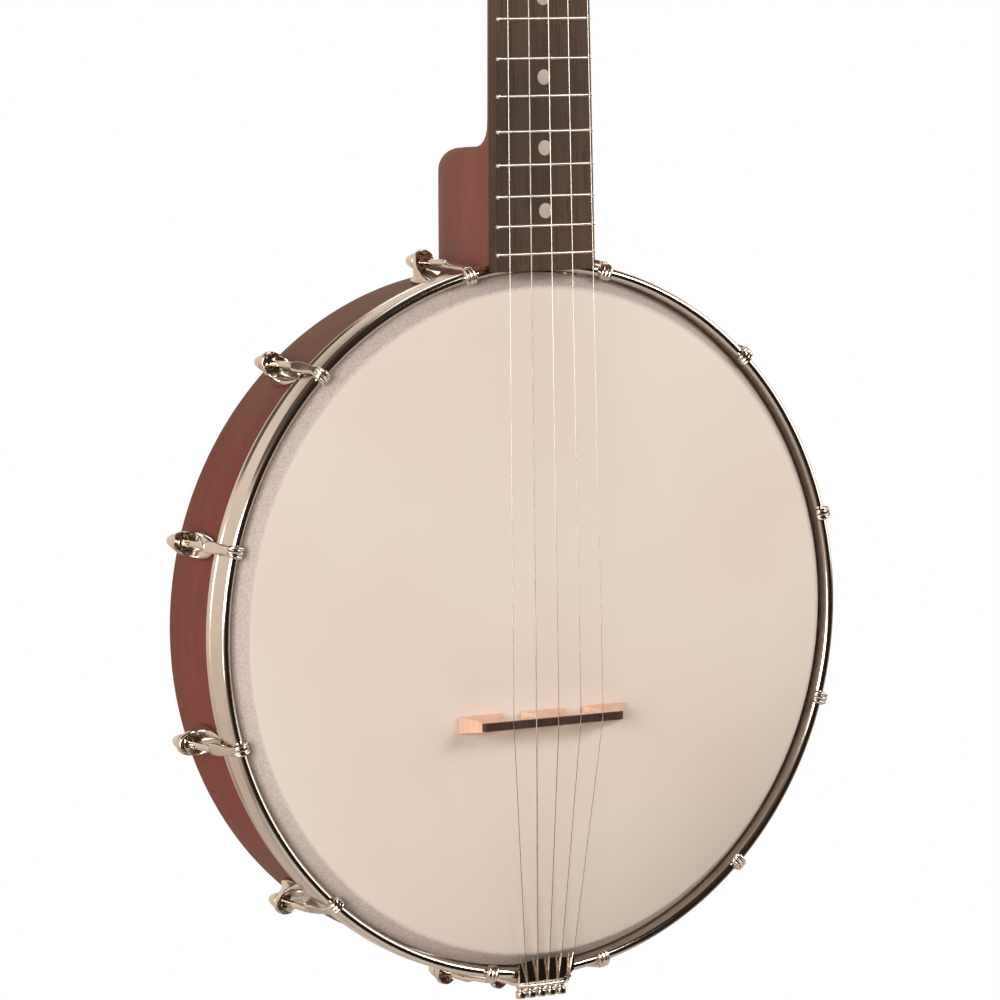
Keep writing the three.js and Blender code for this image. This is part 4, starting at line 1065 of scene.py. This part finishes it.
def stage_plane(name, size, z, colour):
    mesh = bpy.data.meshes.new(name)
    h = size / 2
    mesh.from_pydata([(-h, -h, z), (h, -h, z), (h, h, z), (-h, h, z)], [], [(0, 1, 2, 3)])
    mesh.materials.append(material_nodes(name).finish(colour, 0.9))
    obj = bpy.data.objects.new(name, mesh)
    bpy.context.scene.collection.objects.link(obj)


def area_light(name, offset, size, power, target=(0, 0, 60)):
    """A warm white panel; its offset and target are in mm from the pot, its size in metres."""
    light = bpy.data.lights.new(name, "AREA")
    light.shape = "RECTANGLE"
    light.size, light.size_y = size
    light.energy = power
    light.color = (1.0, 0.965, 0.935)
    obj = bpy.data.objects.new(name, light)
    place = Vector(POT + np.array(offset) * MM)
    obj.location = place
    aim = Vector(POT + np.array(target) * MM) - place
    obj.rotation_euler = aim.to_track_quat("-Z", "Y").to_euler()
    bpy.context.scene.collection.objects.link(obj)


stage_plane("floor", FLOOR_SIZE, float(POT[2]) - FLOOR_DROP, srgb(244, 242, 238))
area_light("left_key", (-1550, -1250, 330), (1.3, 0.7), 27.5)
area_light("left_low", (-1800, -900, -240), (0.25, 0.45), 2.6)
area_light("right_front", (1250, -1450, 950), (0.9, 0.6), 18, target=(0, 0, 100))
area_light("right", (1850, -700, 500), (1.5, 1.3), 12, target=(0, 0, 0))
area_light("top", (500, 500, 1900), (1.6, 1.0), 11)


# ---------------------------------------------------------------- surroundings
DARK_SIDE = Vector((0.38, -0.92, -0.05)).normalized()


def studio_world():
    """Cream walls behind and beside the object, darker below, above and in front; plain white where seen."""
    world = bpy.data.worlds.new("studio")
    bpy.context.scene.world = world
    n = Nodes(world)
    n.tree.nodes.clear()
    direction = n.make("ShaderNodeTexCoord").outputs["Generated"]
    toward_dark = n.make("ShaderNodeVectorMath", {0: direction, 1: DARK_SIDE}, operation="DOT_PRODUCT")
    wall = n.ramp(n.map_range(n.parts(direction)[2], -1.0, 1.0),
                  (0.06, (0.07, 0.05, 0.04)), (0.16, (0.36, 0.28, 0.24)), (0.25, (0.62, 0.50, 0.43)),
                  (0.455, (0.80, 0.665, 0.565)), (0.56, (0.84, 0.71, 0.61)), (0.74, (0.88, 0.76, 0.66)),
                  (0.79, (0.16, 0.12, 0.10)), (1.0, (0.10, 0.075, 0.06)))
    side = n.ramp(toward_dark.outputs["Value"], (0.12, (1, 1, 1)), (0.45, (0.30, 0.28, 0.26)),
                  (0.72, (0.10, 0.085, 0.075)), (0.93, (0.02, 0.015, 0.012)))
    studio = n.make("ShaderNodeBackground", {"Color": n.mix(1.0, wall, side, "MULTIPLY"), "Strength": 1.0})
    white = n.make("ShaderNodeBackground", {"Color": (1, 1, 1, 1), "Strength": 1.0})
    seen = n.make("ShaderNodeLightPath").outputs["Is Camera Ray"]
    both = n.make("ShaderNodeMixShader", {0: seen, 1: studio.outputs[0], 2: white.outputs[0]})
    n.make("ShaderNodeOutputWorld", {0: both.outputs[0]})


studio_world()
bpy.context.scene.view_settings.view_transform = "Standard"
